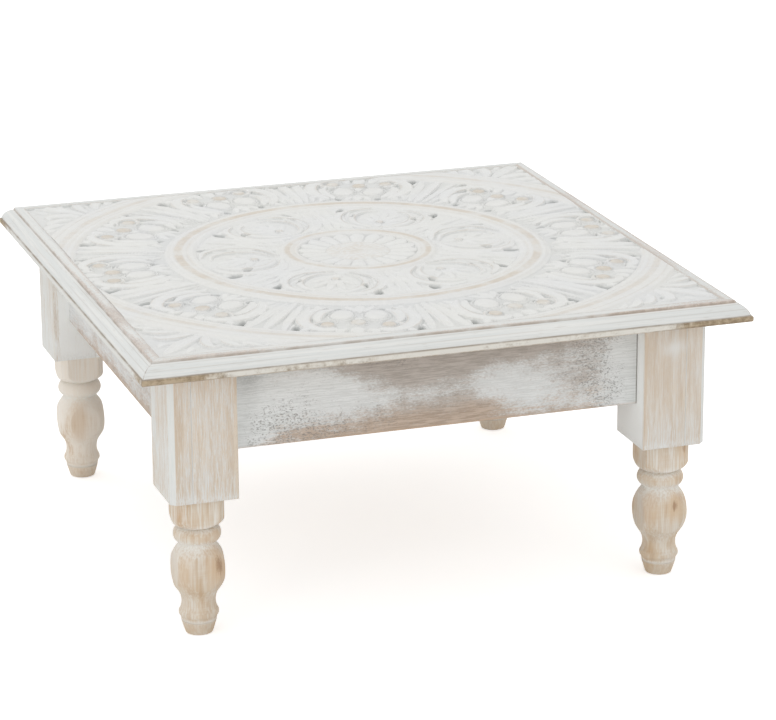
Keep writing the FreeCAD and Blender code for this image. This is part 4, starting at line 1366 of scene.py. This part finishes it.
def turn_foot():
    """Spin the half section, then plane the four flats of the square blank."""
    sizes = bpy.context.scene.bajot_sizes
    points = profile_points(FOOT_PROFILE)
    clear_selection()
    bpy.ops.mesh.primitive_plane_add(size=MM, location=(0, 0, 0))
    foot = bpy.context.object
    bpy.ops.object.mode_set(mode="EDIT")
    bpy.ops.mesh.select_mode(type="VERT")
    bpy.ops.mesh.select_all(action="SELECT")
    bpy.ops.mesh.merge(type="CENTER")
    position = Vector((0, 0, 0))
    for radius, level in points + [Vector((0, points[-1].y))]:
        following = Vector((radius, 0, level)) * MM
        bpy.ops.mesh.extrude_region_move(
            TRANSFORM_OT_translate={"value": following - position})
        position = following
    bpy.ops.mesh.select_all(action="SELECT")
    bpy.ops.mesh.spin(
        steps=sizes.foot_steps, angle=math.tau, center=(0, 0, 0), axis=(0, 0, 1))
    bpy.ops.mesh.select_all(action="SELECT")
    bpy.ops.mesh.remove_doubles(threshold=MERGE_DISTANCE * MM)
    bpy.ops.mesh.normals_make_consistent(inside=False)
    for direction in ((1, 0, 0), (-1, 0, 0), (0, 1, 0), (0, -1, 0)):
        bpy.ops.mesh.select_all(action="SELECT")
        bpy.ops.mesh.bisect(
            plane_co=Vector(direction) * sizes.foot_blank / 2, plane_no=direction,
            use_fill=True, clear_outer=True)
    bpy.ops.mesh.select_all(action="SELECT")
    bpy.ops.mesh.normals_make_consistent(inside=False)
    bpy.ops.object.mode_set(mode="OBJECT")
    return foot


# Stage

FRAME_WIDTH = 776
SENSOR_WIDTH = 36.0
FOCAL_PIXELS = 3282.4
CAMERA_PLACE = (-0.9778, -3.0229, 1.1778)
CAMERA_YAW = 0.3228
CAMERA_PITCH = 0.3063
CAMERA_ROLL = -0.0064
CAMERA_NEAR = 0.05
CAMERA_FAR = 60.0


def set_camera(scene):
    """Camera at the angle and distance that the photo was taken from."""
    data = bpy.data.cameras.new("Camera")
    data.sensor_fit = "HORIZONTAL"
    data.sensor_width = SENSOR_WIDTH
    data.lens = FOCAL_PIXELS / FRAME_WIDTH * SENSOR_WIDTH
    data.clip_start = CAMERA_NEAR
    data.clip_end = CAMERA_FAR
    camera = bpy.data.objects.new("Camera", data)
    scene.collection.objects.link(camera)
    level = math.cos(CAMERA_PITCH)
    forward = Vector((
        math.sin(CAMERA_YAW) * level, math.cos(CAMERA_YAW) * level, -math.sin(CAMERA_PITCH)))
    right = Vector((math.cos(CAMERA_YAW), -math.sin(CAMERA_YAW), 0))
    up = right.cross(forward)
    turned_right = right * math.cos(CAMERA_ROLL) + up * math.sin(CAMERA_ROLL)
    turned_up = up * math.cos(CAMERA_ROLL) - right * math.sin(CAMERA_ROLL)
    rotation = Matrix((turned_right, turned_up, -forward)).transposed()
    camera.matrix_world = Matrix.Translation(CAMERA_PLACE) @ rotation.to_4x4()
    scene.camera = camera


WHITE = (1.0, 1.0, 1.0)
FLOOR_SIZE = 24.0
FLOOR_PAINT = (0.88, 0.88, 0.88)
FLOOR_GLOW = 0.53


def set_floor():
    """Pale floor that reads as white to the camera and keeps the table's shadow."""
    clear_selection()
    bpy.ops.mesh.primitive_plane_add(size=FLOOR_SIZE, location=(0, 0, 0))
    floor = bpy.context.object
    floor.name = "stage_floor"
    finish = Finish("stage_floor_paint")
    seen = finish.ray("Camera").most(finish.ray("Glossy"))
    matte = finish.node("ShaderNodeBsdfDiffuse", {}, opaque(FLOOR_PAINT))
    glow = finish.node("ShaderNodeEmission", {}, opaque(WHITE), FLOOR_GLOW)
    white = finish.node("ShaderNodeAddShader", {}, matte, glow)
    whole = finish.node("ShaderNodeMixShader", {}, seen, matte, white)
    finish.node("ShaderNodeOutputMaterial", {}, whole)
    paint(floor, finish.material)


SKY_STRENGTH = 0.82
LAMP_AIM = (0, 0, 0.2)

# A lamp is (name, place, size, power)
LAMPS = (
    ("lamp_above", (-0.7, 0.9, 3.2), 2.2, 17.0),
    ("lamp_left", (-2.8, -2.2, 0.62), 1.1, 12.0),
    ("lamp_right", (2.0, -3.2, 1.3), 2.0, 8.0),
)


def set_light(scene):
    """Even white surround with soft lamps above, low at the left and at the right."""
    world = bpy.data.worlds.new("soft_surround")
    scene.world = world
    world.use_nodes = True
    layout = Layout(world.node_tree)
    seen = layout.ray("Camera").most(layout.ray("Transmission"))
    strength = seen * (1 - SKY_STRENGTH) + SKY_STRENGTH
    sky = layout.node("ShaderNodeBackground", {}, opaque(WHITE), strength)
    layout.node("ShaderNodeOutputWorld", {}, sky)
    for name, place, size, power in LAMPS:
        lamp = bpy.data.lights.new(name, "AREA")
        lamp.shape = "SQUARE"
        lamp.size = size
        lamp.energy = power
        thing = bpy.data.objects.new(name, lamp)
        scene.collection.objects.link(thing)
        thing.location = place
        aim = Vector(LAMP_AIM) - Vector(place)
        thing.rotation_euler = aim.to_track_quat("-Z", "Y").to_euler()
    scene.view_settings.view_transform = "Standard"


# Operators

class BAJOT_OT_stage(bpy.types.Operator):
    """Set the camera, the pale floor and the soft light"""
    bl_idname = "bajot.stage"
    bl_label = "Stage"

    def execute(self, context):
        set_camera(context.scene)
        set_floor()
        set_light(context.scene)
        return {"FINISHED"}


class BAJOT_OT_carved_panel(bpy.types.Operator):
    """Carve the mandala into the boards of the panel"""
    bl_idname = "bajot.carved_panel"
    bl_label = "Carved panel"

    def execute(self, context):
        sizes = context.scene.bajot_sizes
        boards = sizes.panel_boards
        per_board = round(HALF_PANEL * 2 / sizes.carving_cell / boards)
        relief = carve_mandala(HALF_PANEL / MM, per_board * boards)
        # The second field is painted shade for the hollows and creases
        worn, hollow_shade = ridge_wear(relief)
        material = carved_finish()
        for number in range(boards):
            columns = (number * per_board, (number + 1) * per_board)
            piece, carved_faces = carved_board(
                f"carved_panel_board_{number + 1}", relief, columns,
                {"worn": worn, "hollow_shade": hollow_shade})
            set_carved_normals(piece, relief, columns, carved_faces)
            paint(piece, material)
            dress(piece, "carved_panel_wood", "carved_panel")
        return {"FINISHED"}


class BAJOT_OT_edge_moulding(bpy.types.Operator):
    """Finish the four mitred lengths of moulding"""
    bl_idname = "bajot.edge_moulding"
    bl_label = "Edge moulding"

    def execute(self, context):
        material = moulding_finish()
        for side in SIDES:
            paint_node(f"top_moulding_{side}", material)
        return {"FINISHED"}


class BAJOT_OT_leg_blocks(bpy.types.Operator):
    """Build the cores and facing boards of the four leg blocks"""
    bl_idname = "bajot.leg_blocks"
    bl_label = "Leg blocks"

    def execute(self, context):
        sizes = context.scene.bajot_sizes
        for corner_name, (side_x, side_y) in CORNERS.items():
            material = block_finish(corner_name)
            low, high = block_box(corner_name)
            outer_x = high.x if side_x > 0 else low.x
            outer_y = high.y if side_y > 0 else low.y
            for part in ("leg_core", "leg_facing"):
                node = f"{part}_{corner_name}"
                piece = board(f"{node}_piece", *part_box(node))
                chamfer_upright(piece, outer_x, outer_y, sizes.block_chamfer)
                soften(piece, sizes.block_rounding)
                paint(piece, material)
                dress(piece, "leg_block_wood", node)
        return {"FINISHED"}


class BAJOT_OT_aprons(bpy.types.Operator):
    """Build the four aprons between the blocks"""
    bl_idname = "bajot.aprons"
    bl_label = "Aprons"

    def execute(self, context):
        sizes = context.scene.bajot_sizes
        for side in SIDES:
            node = f"apron_{side}"
            piece = board(f"{node}_piece", *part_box(node))
            soften(piece, sizes.apron_rounding)
            paint(piece, apron_finish(side))
            dress(piece, "apron_wood", node)
        return {"FINISHED"}


class BAJOT_OT_turned_feet(bpy.types.Operator):
    """Turn one foot and copy it to the four corners"""
    bl_idname = "bajot.turned_feet"
    bl_label = "Turned feet"

    def execute(self, context):
        pattern = turn_foot()
        for corner_name in CORNERS:
            node = f"turned_foot_{corner_name}"
            low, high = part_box(node)
            piece = pattern.copy()
            piece.data = pattern.data.copy()
            piece.name = f"{node}_piece"
            context.scene.collection.objects.link(piece)
            piece.location = ((low.x + high.x) / 2, (low.y + high.y) / 2, 0)
            bake_place(piece)
            bpy.ops.object.shade_smooth_by_angle(angle=TURNED_ANGLE)
            paint(piece, foot_finish(corner_name))
            dress(piece, "turned_foot_wood", node)
        bpy.data.objects.remove(pattern)
        return {"FINISHED"}


class BAJOT_OT_hidden_joinery(bpy.types.Operator):
    """Finish the cleats, dowels and screws under the top"""
    bl_idname = "bajot.hidden_joinery"
    bl_label = "Hidden joinery"

    def execute(self, context):
        wood = joinery_finish()
        for side in SIDES:
            paint_node(f"cleat_{side}", wood)
        for node in ("apron_dowels", "leg_top_dowels"):
            paint_node(node, wood)
        steel = screw_finish()
        for node in ("cleat_apron_screws", "cleat_top_screws"):
            paint_node(node, steel)
        return {"FINISHED"}


OPERATORS = (
    BAJOT_OT_stage,
    BAJOT_OT_carved_panel,
    BAJOT_OT_edge_moulding,
    BAJOT_OT_leg_blocks,
    BAJOT_OT_aprons,
    BAJOT_OT_turned_feet,
    BAJOT_OT_hidden_joinery,
)


class BAJOT_PT_pieces(bpy.types.Panel):
    """Lists the pieces of the table"""
    bl_idname = "BAJOT_PT_pieces"
    bl_label = "Bajot Low Table"
    bl_space_type = "VIEW_3D"
    bl_region_type = "UI"
    bl_category = "Bajot"

    def draw(self, context):
        for operator in OPERATORS:
            self.layout.operator(operator.bl_idname)
        for group in (context.scene.bajot_sizes, context.scene.bajot_colours):
            for name in group.__annotations__:
                self.layout.prop(group, name)


CLASSES = (BajotSizes, BajotColours, *OPERATORS, BAJOT_PT_pieces)


def register():
    for item in CLASSES:
        bpy.utils.register_class(item)
    bpy.types.Scene.bajot_sizes = PointerProperty(type=BajotSizes)
    bpy.types.Scene.bajot_colours = PointerProperty(type=BajotColours)


def unregister():
    del bpy.types.Scene.bajot_colours
    del bpy.types.Scene.bajot_sizes
    for item in reversed(CLASSES):
        bpy.utils.unregister_class(item)


def main():
    register()
    bpy.ops.bajot.stage()
    bpy.ops.bajot.carved_panel()
    bpy.ops.bajot.edge_moulding()
    bpy.ops.bajot.leg_blocks()
    bpy.ops.bajot.aprons()
    bpy.ops.bajot.turned_feet()
    bpy.ops.bajot.hidden_joinery()


if __name__ == "__main__":
    main()
